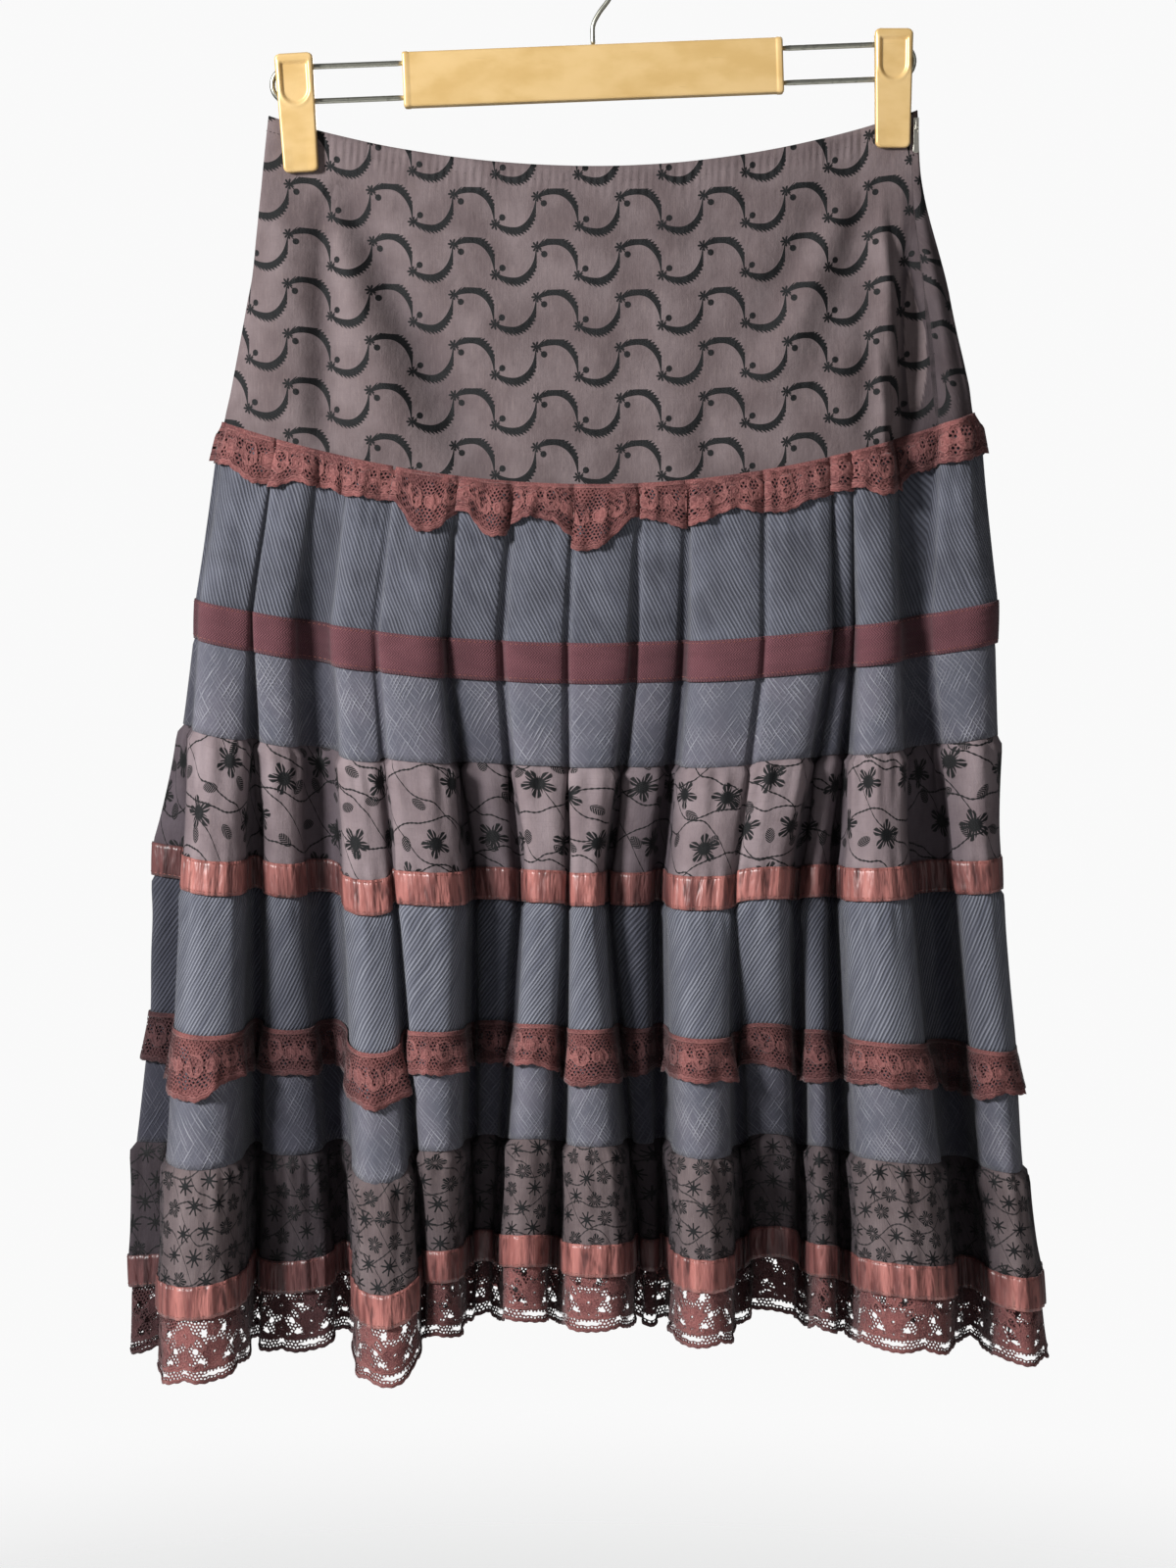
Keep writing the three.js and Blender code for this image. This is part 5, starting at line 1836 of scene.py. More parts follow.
@dataclass(frozen=True)
class Yoke:
    """The smooth hip yoke with its casing, topstitching and the step beside the zip."""

    name: str = "yoke"
    slot: str = "taupe_cotton"
    finish: Finish = TaupeCotton("yoke_cotton", Embroidery.WAVES)
    cut: tuple[float, float] = (0.76, 0.187)
    columns: tuple[int, int, int] = (380, 26, 300)
    spacing: float = 2.9
    wall: float = 0.8
    stitch_drop: float = 8.0
    row_bow: float = 0.35
    back_shift: float = 700.0
    pleats: Gathers = Gathers(4.6, 0.55, 5.5, 21)
    swells: tuple[Swells, ...] = (Swells(26, 40, 0.8, 22), Swells(9, 13, 0.22, 23))
    side_fade: tuple[float, float] = (186, 172)
    low_fade: tuple[float, float] = (172, 200)
    hem_fade: tuple[float, float] = (1.0, 18.0)
    clip_inner: tuple[float, float] = (146, 152)
    clip_lower: tuple[float, float] = (146, 138)
    # Where the side fold's painted shadow starts: across, then down from the top.
    zip_fold: tuple[float, float] = (168, 172)
    zip_top: tuple[float, float] = (128, 160)
    creases: tuple[Crease, ...] = (
        Crease(-141, -143, -58, -312, -8.0, 9.0, 0.9),
        Crease(-143, -152, -98, -312, 5.0, 8.0, 1.6),
        Crease(-148, -150, -150, -330, -6.5, 7.0, 0.4),
        Crease(-170, -144, -180, -290, 2.2, 9.0, 0.6),
        Crease(141, -148, 94, -262, 3.8, 7.5, 1.0),
        Crease(150, -156, 128, -240, -3.8, 8.0, 0.9),
        Crease(126, -152, 84, -240, -2.4, 8.0, 0.6),
        Crease(160, -140, 162, -335, 2.2, 3.8, 0.2),
        Crease(174, -165, 178, -335, -5.0, 5.0, 0.3),
        Crease(184, -205, 190, -340, -5.0, 8.0, 0.3),
        Crease(148, -180, 150, -335, -2.6, 6.0, 0.4),
        Crease(60, -262, 66, -335, -2.4, 8.0, 0.5),
        Crease(-60, -200, -20, -312, 1.8, 14.0, 0.6),
        Crease(20, -170, 90, -176, -1.4, 6.0, 0.5),
        Crease(-110, -158, -40, -172, -1.4, 6.0, 0.5),
        Crease(-148, -150, -66, -300, -5.5, 8.0, 0.9, True),
        Crease(-152, -160, -104, -310, 3.4, 8.0, 1.0, True),
        Crease(150, -145, 72, -290, -5.0, 8.0, 0.9, True),
        Crease(154, -150, 120, -305, 3.2, 8.0, 0.8, True),
        Crease(-10, -190, 20, -310, -2.0, 14.0, 0.6, True),
    )

    def rings(self) -> list[Array]:
        """Rings of the yoke's levels."""
        return [FORM.yoke_ring(name, self.columns) for name in YOKE_FORMS]

    def surface(self, drops: Array | None = None) -> tuple[Array, Array, Array]:
        """The cloth's outside.

        Args:
            drops: Distances below the waist edge, or None for even rows down to the hem.

        Returns:
            The points, their outward normals, and the distance of each point below the waist edge.
        """
        rings = self.rings()
        centres = [LEVELS[name].centre for name in YOKE_FORMS]
        depths = centres[0] - np.array(centres)
        if drops is None:
            drops = np.linspace(0, depths[-1] + 1.0, int(depths[-1] / self.spacing))
        places = np.interp(drops, depths, np.arange(len(depths)))
        grid = through(rings, places, True)
        normals = outward(grid)
        arc = arc_of(rings[-1])[:-1][None, :]
        away = np.abs(drops - self.stitch_drop)[:, None]
        height = self.pleats.at(arc, away) - self.pleats.depth * np.exp(-((away / 1.1) ** 2))
        for swell in self.swells:
            height = height + swell.at(arc, drops[:, None])
        for crease in self.creases:
            height = height + crease.at(grid)
        aside, below = np.abs(grid[..., 0]), -grid[..., 2]
        free = ease(aside, *self.side_fade) + ease(below, *self.low_fade)
        hem = ease(depths[-1] - drops, *self.hem_fade)[:, None]
        height = height * np.clip(free, 0.05, 1.0) * (0.12 + 0.88 * hem)
        clip = ease(aside, *self.clip_inner) * ease(below, *self.clip_lower)
        height = height * (1 - clip)
        return grid + normals * height[..., None], normals, drops

    def make(self) -> bpy.types.Object:
        outer, normals, drops = self.surface()
        inner = outer - normals * self.wall
        uv = self.grain(drops)
        kept = thinned(len(drops), 4)
        item = Builder.shell(self.name, outer, inner, kept, uv)
        # Mask of the painted shade in the creases and of the side fold's painted shadow.
        Builder.shell_attribute(item, "valley_shade", self.shade(outer), kept)
        return dress(item, self)

    def shade(self, outer: Array) -> Array:
        """Mask of painted shade from 0 to 1: in the creases by their depth, and the side fold's painted
        shadow on the front strip next to the zip.
        """
        # Painted shade in the creases, by their depth.
        low = -sum(crease.at(outer) for crease in self.creases)
        front = outer[..., 1] < 0
        # Painted shadow of the side fold on the front strip next to the zip.
        painted_fold_shadow = ease(outer[..., 0], *self.zip_fold) * ease(-outer[..., 2], *self.zip_top) * front
        return np.clip(np.clip(low / VALLEY_DEPTH, 0, 1) * 0.5 + painted_fold_shadow * 0.6, 0, 0.8)

    def grain(self, drops: Array) -> Array:
        """Place on the cloth, along the weave from the middle of the front and of the back."""
        rings = self.rings()
        centres = np.array([LEVELS[name].centre for name in YOKE_FORMS])
        outer = through(rings, np.interp(drops, centres[0] - centres, np.arange(len(rings))), True)
        looped = np.concatenate([outer, outer[:, :1]], axis=1)
        steps = np.linalg.norm(np.diff(looped[..., :2], axis=1), axis=2)
        arc = np.concatenate([np.zeros((len(outer), 1)), np.cumsum(steps, axis=1)], axis=1)
        front = self.columns[0]
        u = np.empty_like(arc)
        for row in range(len(outer)):
            x = looped[row, :, 0]
            u[row, :front] = arc[row, :front] - np.interp(0.0, x[:front], arc[row, :front])
            behind = front + self.columns[1]
            middle = np.interp(0.0, -x[behind:], arc[row, behind:])
            u[row, front:] = arc[row, front:] - middle + self.back_shift
        hip = LEVELS["hip"]
        bow = (hip.height(looped[..., 0]) - hip.centre) * self.row_bow
        return np.stack([u, bow - looped[..., 2]], axis=-1)

    def stitch_path(self) -> Array:
        """Points of the casing's topstitch line round the waist."""
        outer, normals, _ = self.surface(np.array([0.0, self.stitch_drop, 1.5 * self.stitch_drop]))
        return (outer + normals * 0.15)[1]


# Hanger and zip


@dataclass(frozen=True)
class Hanger:
    """The clip hanger: bar, wire rods, hook, and two sprung clips."""

    bar_size: tuple[float, float, float] = (208.0, 11.0, 30.0)
    bar_z: float = -84.0
    tilt: float = math.radians(-2.2)
    rod_radius: float = 1.5
    rod_spread: float = 9.3
    rod_reach: float = 166.5
    hook_radius: float = 1.3
    hook_bend: float = 20.0
    hook_stem: tuple[tuple[float, float], ...] = ((0, -68.7), (0, -59), (3.2, -52), (9, -44))
    jaw_top: float = 21.0
    jaw_bottom: float = 19.0
    jaw_height: float = 64.0
    jaw_depth: float = 4.2
    jaw_gap: float = 1.9
    jaw_edge: float = 1.3
    clips: tuple[tuple[str, float, float, float], ...] = (
        ("left", -161.8, -105.8, 3.4),
        ("right", 164.2, -92.6, 0.0),
    )

    def make(self) -> list[bpy.types.Object]:
        """Builds and dresses every part of the hanger."""
        gold = GildedPlastic("gilded_plastic").make()
        wire = Metal("plated_wire").make()
        made = [self.bar(gold), *self.rods(wire), self.hook(wire)]
        for name, x, z, lean in self.clips:
            place = Matrix.Translation((x * MM, 0, z * MM)) @ Matrix.Rotation(math.radians(-lean), 4, "Y")
            made.append(self.jaw(f"clip_{name}_front", True, place, gold))
            made.append(self.jaw(f"clip_{name}_back", False, place, gold))
            made.append(refined(f"clip_{name}_spring", 0.12, wire, "skirt"))
        for item in made:
            LOG.info("%s: %d faces", item.name, len(item.data.polygons))
        return made

    def settle(self, item: bpy.types.Object, place: Matrix, material: Any, node: str) -> Any:
        """Puts a part in place in its mesh, gives it its material, attaches it to the skirt's body and hides
        the CAD node that it stands for.
        """
        item.data.transform(place)
        item.data.materials.append(material)
        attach(item, "skirt")
        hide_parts(node)
        return item

    def bar_place(self) -> Matrix:
        """Place and tilt of the bar and its rods."""
        return Matrix.Translation((0, 0, self.bar_z * MM)) @ Matrix.Rotation(self.tilt, 4, "Y")

    def bar(self, material: Any) -> bpy.types.Object:
        """The hollow-looking bar: softly crowned faces, rounded edges and a lip round each end."""
        width, depth, height = self.bar_size
        stations = [(0.0, -0.9), (0.25, -0.45), (0.7, -0.12), (1.4, 0.0), (3.2, 0.0)]
        stations += [(3.6, -0.22), (4.4, -0.22)]
        xs = [(-width / 2 + x, inset) for x, inset in stations]
        xs += [(x, -0.22) for x in np.linspace(-90, 90, 13)]
        xs += [(width / 2 - x, inset) for x, inset in reversed(stations)]
        outline = self.bar_outline(depth, height)
        rings = []
        for x, inset in xs:
            scale_y, scale_z = 1 + 2 * inset / depth, 1 + 2 * inset / height
            rings.append([(x, y * scale_y, z * scale_z) for y, z in outline])
        count = len(outline)
        points = [p for ring in rings for p in ring]
        faces = []
        for r in range(len(rings) - 1):
            for c in range(count):
                d = (c + 1) % count
                faces.append([r * count + c, (r + 1) * count + c, (r + 1) * count + d, r * count + d])
        faces.append(list(range(count)))
        faces.append([(len(rings) - 1) * count + c for c in reversed(range(count))])
        item = Builder.solid("hanger_bar_fine", np.array(points), faces)
        return self.settle(item, self.bar_place(), material, "hanger_bar")

    @staticmethod
    def bar_outline(depth: float, height: float) -> list[tuple[float, float]]:
        """Cross-section of the bar, with rounded corners."""
        outline: list[tuple[float, float]] = []
        corner = 1.5
        centres = ((1, 1, 0), (-1, 1, 90), (-1, -1, 180), (1, -1, 270))
        for sy, sz, start in centres:
            cy, cz = sy * (depth / 2 - corner), sz * (height / 2 - corner)
            for step in range(7):
                angle = math.radians(start + step * 15)
                outline.append((cy + corner * math.cos(angle), cz + corner * math.sin(angle)))
        return outline

    def rods(self, material: Any) -> list[bpy.types.Object]:
        """The two wire loops that carry the clips."""
        made = []
        for name, sign in (("left", -1), ("right", 1)):
            start, reach, spread = self.bar_size[0] / 2 - 2, self.rod_reach, self.rod_spread
            out = [(x, spread) for x in np.linspace(start, reach, 14)]
            angles = np.linspace(0, math.pi, 18)[1:-1]
            turn = [(reach + spread * math.sin(a), spread * math.cos(a)) for a in angles]
            back = [(x, -spread) for x in np.linspace(reach, start, 14)]
            path = np.array([(sign * x, 0.0, z) for x, z in out + turn + back])
            item = Builder.tube(f"rod_{name}_fine", path, self.rod_radius, 18)
            made.append(self.settle(item, self.bar_place(), material, f"rod_{name}"))
        return made

    def hook(self, material: Any) -> bpy.types.Object:
        """The wire hook with its short stem."""
        centre = self.hook_radius - self.hook_bend
        knots = list(self.hook_stem)
        for degrees in np.arange(-42, 205, 20.5):
            angle = math.radians(degrees)
            knots.append((self.hook_bend * math.cos(angle), centre + self.hook_bend * math.sin(angle)))
        rough = np.array([(x, 0.0, z) for x, z in knots])
        path = smooth_path(rough, 8)
        item = Builder.tube("hook_fine", path, self.hook_radius, 18)
        return self.settle(item, Matrix.Identity(4), material, "hook")

    def jaw(self, node: str, front: bool, place: Matrix, material: Any) -> bpy.types.Object:
        """One clip jaw: a tapered plate with round edges, and a thumb recess in the front one.

        Args:
            node: The CAD node that it stands for.
            front: True for the front jaw.
            place: Place of the clip.
            material: Its finish.

        Returns:
            The jaw.
        """
        trim = 0.0 if front else 1.0
        rows, columns = 84, 34
        half = self.jaw_height / 2
        z = half * np.sin(np.linspace(-1, 1, rows) * math.pi / 2) * 0.25
        z = z + np.linspace(-half, half, rows) * 0.75
        taper = (self.jaw_bottom + (self.jaw_top - self.jaw_bottom) * (z + half) / (2 * half) - trim) / 2
        corner = 3.0
        end = np.maximum(0.0, corner - (half - np.abs(z)))
        wide = taper - corner + np.sqrt(np.maximum(0.0, corner**2 - end**2))
        s = np.linspace(-1, 1, columns)
        s = s * 0.7 + np.sin(s * math.pi / 2) * 0.3
        x = wide[:, None] * s[None, :]
        zz = z[:, None] + 0 * x
        rim = np.minimum((taper[:, None] - np.abs(x)), (half - np.abs(zz)))
        round_corner = np.hypot(np.maximum(0, np.abs(x) - taper[:, None] + corner), end[:, None])
        rim = np.where((round_corner > 0) & (end[:, None] > 0), corner - round_corner, rim)
        edge = self.jaw_edge
        rim = np.clip(rim, 0, edge)
        face = self.jaw_depth - edge + np.sqrt(np.maximum(0.0, edge**2 - (edge - rim) ** 2))
        if front:
            face = face - self.thumb(x, zz, half)
            face = face - 0.5 * ease(zz, -half + 26, -half + 2) * ease(np.abs(x), 9.5, 3.0) * 0.6
        y = np.maximum(face, 0.4)
        sign = -1.0 if front else 1.0
        gap = self.jaw_gap
        outer = np.stack([x, sign * (gap + y), zz], axis=-1)
        inner = np.stack([x, sign * gap + 0 * y, zz], axis=-1)
        points = np.concatenate([outer.reshape(-1, 3), inner.reshape(-1, 3)])
        faces: list[tuple[int, ...]] = []
        base = rows * columns
        for r in range(rows - 1):
            for c in range(columns - 1):
                a = r * columns + c
                quad = (a, a + 1, a + columns + 1, a + columns)
                faces.append(quad)
                faces.append(tuple(base + i for i in reversed(quad)))
        border = list(range(columns - 1))
        loop = [(c, c + 1) for c in border]
        loop += [(r * columns + columns - 1, (r + 1) * columns + columns - 1) for r in range(rows - 1)]
        loop += [((rows - 1) * columns + c + 1, (rows - 1) * columns + c) for c in reversed(border)]
        loop += [((r + 1) * columns, r * columns) for r in reversed(range(rows - 1))]
        faces += [(b, a, base + a, base + b) for a, b in loop]
        item = Builder.solid(f"{node}_fine", points, faces)
        return self.settle(item, place, material, node)

    @staticmethod
    def thumb(x: Array, z: Array, half: float) -> Array:
        """Depth of the thumb recess: flat at its top, round below, with a soft raised rim."""
        top, middle, wide = half - 4.6, half - 19.0, 7.6
        below = np.hypot(x, np.maximum(0.0, middle - z) * 0.9)
        inside = np.minimum(wide - below, top - z)
        floor = 1.25 * ease(inside, 0.0, 1.1)
        rim = 0.35 * np.exp(-(((inside + 0.7) / 0.7) ** 2))
        return floor - rim


def smooth_path(knots: Array, steps: int) -> Array:
    """A Catmull-Rom path through knots, with the given steps between each two."""
    padded = np.concatenate([[2 * knots[0] - knots[1]], knots, [2 * knots[-1] - knots[-2]]])
    out = []
    for i in range(1, len(padded) - 2):
        p0, p1, p2, p3 = padded[i - 1 : i + 3]
        square, cube = 2 * p0 - 5 * p1 + 4 * p2 - p3, 3 * p1 - p0 - 3 * p2 + p3
        for t in np.arange(steps) / steps:
            out.append(0.5 * (2 * p1 + (p2 - p0) * t + square * t**2 + cube * t**3))
    out.append(padded[-2])
    return np.array(out)


def refined(node: str, width: float, material: Any, body: str) -> bpy.types.Object:
    """A CAD node's merged copy with rounded edges, which stands for it.

    Args:
        node: The CAD node.
        width: Width of the rounding in mm.
        material: Its finish.
        body: The CAD body that it moves with.

    Returns:
        The copy.
    """
    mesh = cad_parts[node].data.copy()
    mesh.materials.clear()
    item = linked(f"{node}_fine", mesh)
    shape = bmesh.new()
    shape.from_mesh(mesh)
    bmesh.ops.remove_doubles(shape, verts=shape.verts, dist=1e-6)
    bmesh.ops.dissolve_limit(shape, angle_limit=math.radians(2), verts=shape.verts, edges=shape.edges)
    edges = [e for e in shape.edges if len(e.link_faces) == 2 and e.calc_face_angle() > math.radians(35)]
    bmesh.ops.bevel(shape, geom=edges, offset=width * MM, segments=2, profile=0.5, affect="EDGES")
    for face in shape.faces:
        face.smooth = False
    shape.to_mesh(mesh)
    shape.free()
    mesh.materials.append(material)
    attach(item, body)
    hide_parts(node)
    return item


# Stitches


class StitchRows:
    """Running stitches set along lines by Geometry Nodes."""

    def __init__(self, name: str, material: bpy.types.Material) -> None:
        """Builds the node tree once.

        Args:
            name: Name of the tree.
            material: The thread's material.
        """
        self.tree = bpy.data.node_groups.new(name, "GeometryNodeTree")
        face = self.tree.interface
        face.new_socket("Line", in_out="INPUT", socket_type="NodeSocketGeometry")
        self.sockets = {
            key: face.new_socket(key, in_out="INPUT", socket_type="NodeSocketFloat").identifier
            for key in ("Pitch", "Length", "Width")
        }
        face.new_socket("Stitches", in_out="OUTPUT", socket_type="NodeSocketGeometry")
        start = self.add("NodeGroupInput", {}, {})
        curve = self.add("GeometryNodeMeshToCurve", {}, {"Mesh": start.outputs["Line"]})
        pitch = {"Curve": curve.outputs[0], "Length": start.outputs["Pitch"]}
        spaced = self.add("GeometryNodeResampleCurve", {"mode": "LENGTH"}, pitch)
        bead = self.add("GeometryNodeMeshUVSphere", {}, {"Segments": 5, "Rings": 3, "Radius": 0.5})
        tangent = self.add("GeometryNodeInputTangent", {}, {})
        aligned = self.add("FunctionNodeAlignRotationToVector", {"axis": "X"}, {"Vector": tangent.outputs[0]})
        length, width = start.outputs["Length"], start.outputs["Width"]
        size = self.add("ShaderNodeCombineXYZ", {}, {0: length, 1: width, 2: width})
        pieces = {"Points": spaced, "Instance": bead, "Rotation": aligned, "Scale": size}
        sources = {key: node.outputs[0] for key, node in pieces.items()}
        placed = self.add("GeometryNodeInstanceOnPoints", {}, sources)
        real = self.add("GeometryNodeRealizeInstances", {}, {0: placed.outputs[0]})
        painted = self.add("GeometryNodeSetMaterial", {}, {"Geometry": real.outputs[0], "Material": material})
        self.add("NodeGroupOutput", {}, {0: painted.outputs[0]})
        self.material = material

    def add(self, kind: str, settings: dict[str, Any], sockets: dict[Any, Any]) -> bpy.types.Node:
        """Adds a node with its settings and its sockets' values or links."""
        made = self.tree.nodes.new(kind)
        for key, value in settings.items():
            setattr(made, key, value)
        for key, value in sockets.items():
            if isinstance(value, bpy.types.NodeSocket):
                self.tree.links.new(value, made.inputs[key])
            else:
                made.inputs[key].default_value = value
        return made

    def sew(self, name: str, path: Array, slot: str, sizes: tuple[float, float, float]) -> bpy.types.Object:
        """Sews one closed line.

        Args:
            name: Name of the piece.
            path: Points of the line in mm.
            slot: Not used.
            sizes: Pitch, stitch length and thread width in mm.

        Returns:
            The stitches as a plain mesh.
        """
        line = bpy.data.meshes.new(name)
        count = len(path)
        line.from_pydata((path * MM).tolist(), [(i, (i + 1) % count) for i in range(count)], [])
        item = linked(name, line)
        modifier = item.modifiers.new("sew", "NODES")
        modifier.node_group = self.tree
        for key, value in zip(("Pitch", "Length", "Width"), sizes):
            modifier[self.sockets[key]] = value * MM
        graph = bpy.context.evaluated_depsgraph_get()
        made = bpy.data.meshes.new_from_object(item.evaluated_get(graph))
        item.modifiers.clear()
        item.data = made
        if not made.materials:
            made.materials.append(self.material)
        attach(item, "skirt")
        LOG.info("%s: %d faces", item.name, len(made.polygons))
        return item


# The whole skirt


class Skirt:
    """Every cloth piece, from the waist down."""

    def __init__(self) -> None:
        """Sets the sizes of all pieces."""
        self.panels = {panel.name: panel for panel in self.tiers()}
        p = self.panels
        tape, satin, lace = "twill_tape", "satin_ribbon", "scallop_lace"
        one, two, four = p["tier_one"], p["tier_two"], p["tier_four"]
        self.trims = (
            Trim("twill_tape", one, 1.0, 2.0, Herringbone("twill_tape"), tape, (1.16, 0.0225), crown=0.35),
            Trim("upper_ribbon", two, 1.0, 2.0, Satin("upper_satin"), satin, (1.62, 0.019)),
            Trim("lower_ribbon", four, 1.0, 2.0, Satin("lower_satin"), satin, (2.2, 0.0195)),
        )
        upper, lower = Lace("upper_scallop_lace", 1.9), Lace("lower_scallop_lace", 1.9)
        high = RuffleLace(
            "upper_lace", one, upper, lace, (0.99, 0.024), 15.5, UPPER_BUNCHES, 15.0, 1.35, 31
        )
        low = RuffleLace(
            "lower_lace", p["band_two"], lower, lace, (1.95, 0.026), 20.0, LOWER_BUNCHES, 22.0, 1.9, 37
        )
        self.laces = (high, low)
        self.hem = HemLace("hem_lace", Lace("hem_openwork_lace", 2.0), lace, (2.2, 0.035))
        self.yoke = Yoke()

    @staticmethod
    def tiers() -> tuple[Panel, ...]:
        """The six tiers and bands below the yoke."""
        return (
            Panel(
                "tier_one", ("hip", "tape_top", "tape_end"),
                # Painted shade: a darker copy of the crinkle cloth than the third tier's, for the weaker
                # light at this height.
                SlateCrinkle("first_crinkle", Lean.LEFT, base="51525c", ridge="888a94"),
                "slate_crinkle", (1.16, 0.104),
                (
                    Relief(Gathers(9.0, 1.3, 24.0, 1), 0, 0),
                    Relief(Gathers(24.0, 1.9, 70.0, 2), 0, 0),
                    Relief(Swells(30, 60, 0.7, 3), 0, 2),
                ),
            ),
            Panel(
                "band_one", ("tape_end", "seam_two"), SlateHatch("first_hatch"),
                "slate_crosshatch", (1.31, 0.048),
                (Relief(Swells(34, 50, 0.6, 4), 0, 1), Relief(Gathers(8.0, 0.35, 7.0, 5), 1, 1)),
            ),
            Panel(
                "tier_two", ("seam_two", "ribbon_top", "ribbon_end"),
                # Painted light: a lighter copy of the yoke's cotton, for the stronger light on this tier.
                TaupeCotton("second_cotton", Embroidery.VINES, "8f8184", "786a6d"),
                "taupe_cotton", (1.62, 0.077),
                (
                    Relief(Gathers(8.6, 1.7, 20.0, 6), 0, 0),
                    Relief(Gathers(17.0, 1.9, 52.0, 7), 0, 0),
                    Relief(Gathers(8.8, 1.2, 9.0, 8), 1, 2),
                ),
            ),
            Panel(
                "tier_three", ("ribbon_end", "seam_three"),
                # Painted light: a lighter copy of the crinkle cloth than the first tier's, for the stronger
                # light at this height.
                SlateCrinkle("third_crinkle", Lean.RIGHT, base="686a76", ridge="a6a8b1"),
                "slate_crinkle", (1.8, 0.0765),
                (
                    Relief(Gathers(8.4, 1.0, 16.0, 8), 0, 0),
                    Relief(Gathers(21.0, 1.6, 62.0, 10), 0, 0),
                    Relief(Swells(30, 60, 0.6, 11), 0, 1),
                ),
            ),
            Panel(
                "band_two", ("seam_three", "seam_four"), SlateHatch("second_hatch"),
                "slate_crosshatch", (1.99, 0.0655),
                (Relief(Swells(34, 50, 0.7, 12), 0, 1), Relief(Gathers(8.0, 0.35, 7.0, 13), 1, 1)),
            ),
            Panel(
                "tier_four", ("seam_four", "hem_ribbon_top", "hem_ribbon_end"),
                # Painted shade: a darker copy of the yoke's cotton, for the weaker light on this tier.
                TaupeCotton("fourth_cotton", Embroidery.ROSETTES, "706465", "5d5152"),
                "taupe_cotton", (2.2, 0.0775),
                (
                    Relief(Gathers(8.2, 1.9, 22.0, 14), 0, 0),
                    Relief(Gathers(16.0, 2.3, 52.0, 15), 0, 0),
                    Relief(Gathers(8.6, 1.25, 9.0, 16), 1, 2),
                ),
            ),
        )

    def make(self) -> None:
        """Builds every piece in order."""
        self.yoke.make()
        for piece in (*self.panels.values(), *self.trims, *self.laces, self.hem):
            piece.make()
        rows = StitchRows("running_stitch", Thread("trim_thread").make())
        for trim in self.trims:
            for key, share in (("top", 0.07), ("end", 0.93)):
                path = trim.edge_path(share, 0.05)
                rows.sew(f"{trim.name}_{key}_stitches", path, trim.slot, (3.0, 2.1, 0.45))
        taupe = StitchRows("waist_stitch", Thread("waist_thread", "2b2627", "4b4243").make())
        taupe.sew("waist_stitches", self.yoke.stitch_path(), "taupe_cotton", (2.4, 1.8, 0.4))


UPPER_BUNCHES = (
    Bunch(-178, 16, 5),
    Bunch(-90, 15, 13),
    Bunch(-52, 14, 12),
    Bunch(0, 20, 17),
    Bunch(52, 20, 6),
    Bunch(103, 18, 3),
    Bunch(160, 14, 6),
)
LOWER_BUNCHES = (
    Bunch(-222, 20, 9),
    Bunch(-125, 22, 4),
    Bunch(0, 26, 8),
    Bunch(118, 24, 5),
    Bunch(205, 20, 5),
)


@dataclass(frozen=True)
class Lamp:
    """A soft square light: place and size in metres, and power in watts."""

    name: str
    place: tuple[float, float, float]
    size: float
    power: float


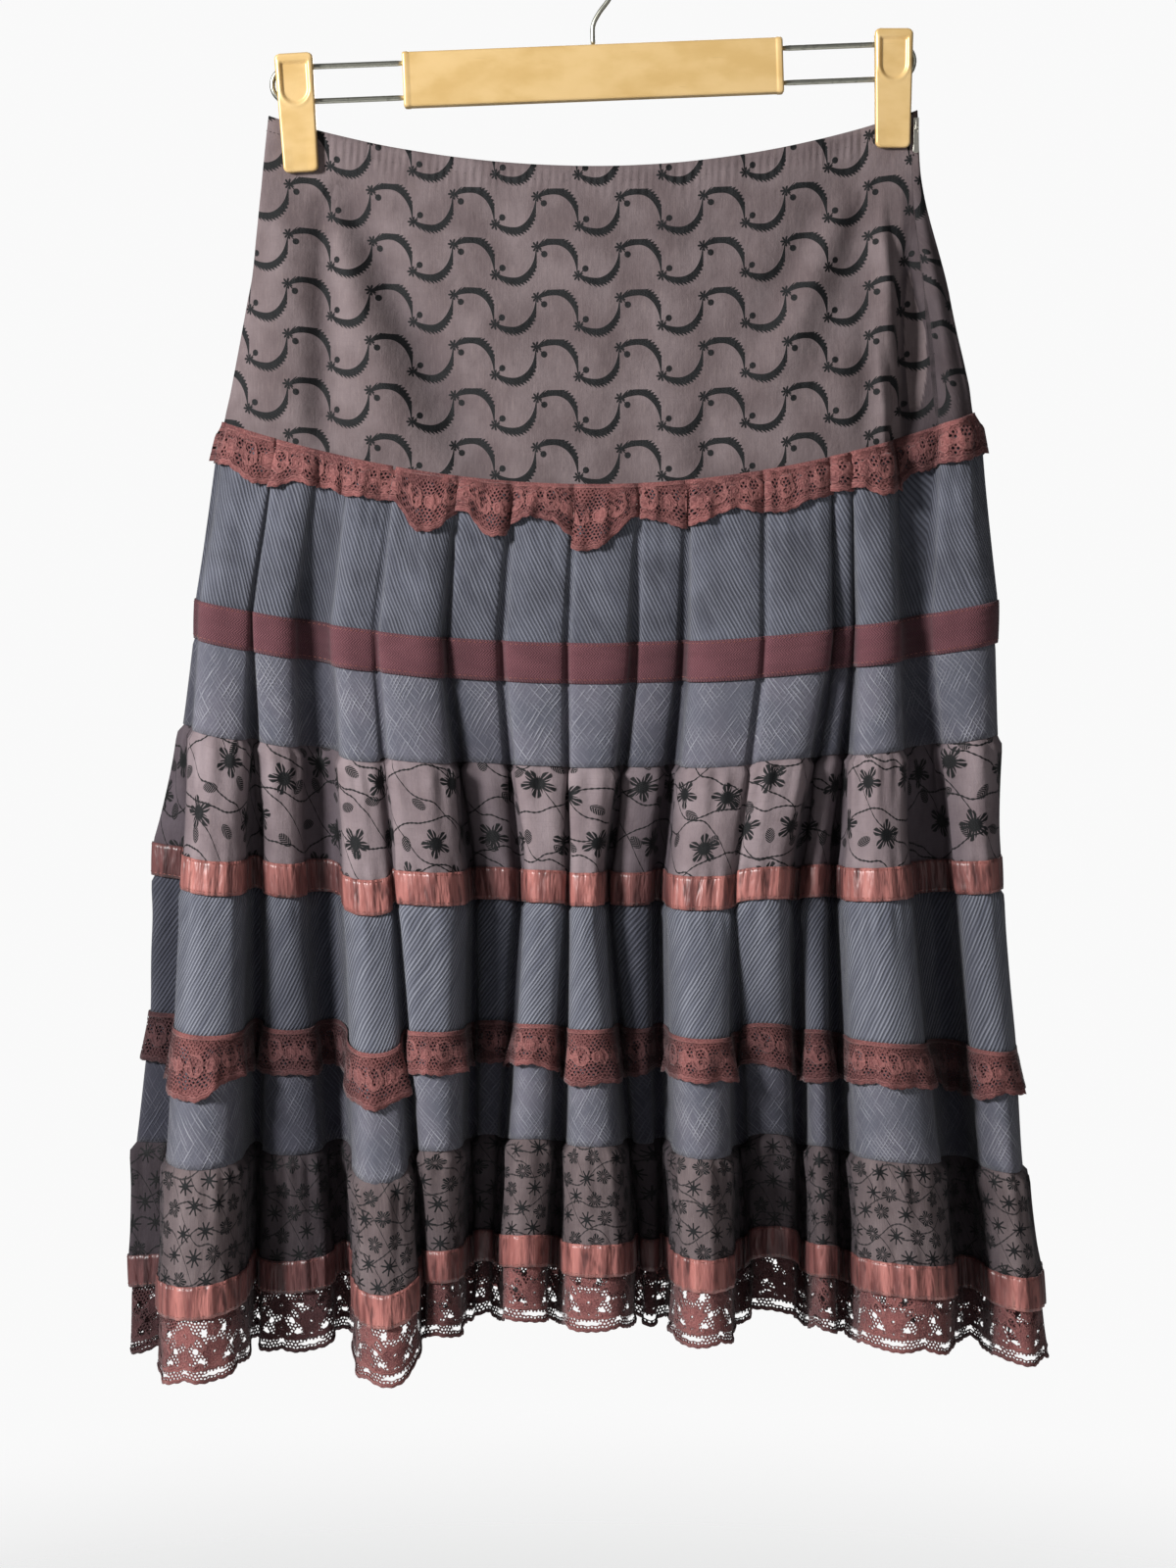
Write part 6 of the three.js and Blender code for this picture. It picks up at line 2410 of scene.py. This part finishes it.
@dataclass(frozen=True)
class Studio:
    """Floor, lights, surroundings and camera, in metres."""

    aim_x: float = -0.00275
    middle_z: float = -0.4755
    distance: float = 1.6
    pitch: float = 6.0
    sensor: float = 24.0
    lens: float = 43.57
    floor_z: float = -1.6
    floor_reach: float = 2.3
    seen: float = 0.95
    ambient: float = 0.12
    lamps: tuple[Lamp, ...] = (
        Lamp("key_light", (-1.8, -1.5, 0.45), 0.42, 95),
        Lamp("fill_light", (1.2, -2.0, -0.1), 1.4, 4),
        Lamp("back_light", (0.6, 2.2, 0.6), 1.4, 30),
    )

    def camera(self) -> None:
        """Sets the camera at the photograph's angle."""
        data = bpy.data.cameras.new("camera")
        data.sensor_fit = "AUTO"
        data.sensor_width = self.sensor
        data.lens = self.lens
        item = linked("camera", data)
        down = math.radians(self.pitch)
        back, up = self.distance * math.cos(down), self.distance * math.sin(down)
        item.location = (self.aim_x, -back, self.middle_z + up)
        item.rotation_euler = (math.radians(90) - down, 0, 0)
        bpy.context.scene.camera = item

    def light(self, lamp: Lamp) -> None:
        """Adds a light that faces the skirt's middle."""
        data = bpy.data.lights.new(lamp.name, "AREA")
        data.shape = "SQUARE"
        data.size = lamp.size
        data.energy = lamp.power
        item = linked(lamp.name, data)
        item.location = lamp.place
        aim = Vector((0, 0, -0.45)) - Vector(lamp.place)
        item.rotation_euler = aim.to_track_quat("-Z", "Y").to_euler()

    def floor(self) -> None:
        """A round pale floor, as far below the rail as a real one, that fades out at its edge."""
        sheet = NodeSheet("pale_floor")
        x, y, _ = sheet.place()
        away = (x * x + y * y).sqrt() * MM
        cloud = sheet.noise(x / 500.0, y / 500.0, 0.0, 2.0)
        colour = sheet.mix(cloud, linear("f0f0f0"), linear("f6f6f6"))
        varying = {"Base Color": colour, "Alpha": away.ramp(self.floor_reach, 1.0)}
        material = sheet.finish({"Roughness": 0.9, "Specular IOR Level": 0.1}, varying)
        mesh = bpy.data.meshes.new("floor")
        turns = [TAU * i / 64 for i in range(64)]
        rim = [(self.floor_reach * math.cos(t), self.floor_reach * math.sin(t), self.floor_z) for t in turns]
        mesh.from_pydata([*rim, (0, 0, self.floor_z)], [], [(i, (i + 1) % 64, 64) for i in range(64)])
        mesh.materials.append(material)
        linked("floor", mesh)

    def surroundings(self) -> None:
        """A white room, paler to the camera than to the cloth, so that folds keep their shade."""
        world = bpy.data.worlds.new("studio")
        bpy.context.scene.world = world
        world.use_nodes = True
        tree = world.node_tree
        seen = tree.nodes["Background"]
        seen.inputs[0].default_value = (1, 1, 1, 1)
        seen.inputs[1].default_value = self.seen
        lit = tree.nodes.new("ShaderNodeBackground")
        lit.inputs[0].default_value = (0.96, 0.98, 1, 1)
        lit.inputs[1].default_value = self.ambient
        rays = tree.nodes.new("ShaderNodeLightPath")
        mix = tree.nodes.new("ShaderNodeMixShader")
        tree.links.new(rays.outputs["Is Camera Ray"], mix.inputs[0])
        tree.links.new(lit.outputs[0], mix.inputs[1])
        tree.links.new(seen.outputs[0], mix.inputs[2])
        tree.links.new(mix.outputs[0], tree.nodes["World Output"].inputs[0])

    def make(self) -> None:
        """Sets up the whole studio."""
        self.camera()
        self.floor()
        self.surroundings()
        for lamp in self.lamps:
            self.light(lamp)
        bpy.context.scene.view_settings.view_transform = "Standard"


def main() -> None:
    """Builds the dressed model and its studio in order."""
    logging.basicConfig(level=logging.INFO, format="%(message)s")
    Skirt().make()
    Hanger().make()
    metal = Metal("zip_metal", "c9c5bb", "8d8a80", 0.22).make()
    refined("zip_slider", 0.12, metal, "skirt")
    refined("zip_tab", 0.12, metal, "zip_pull")
    Studio().make()


if __name__ == "__main__":
    main()
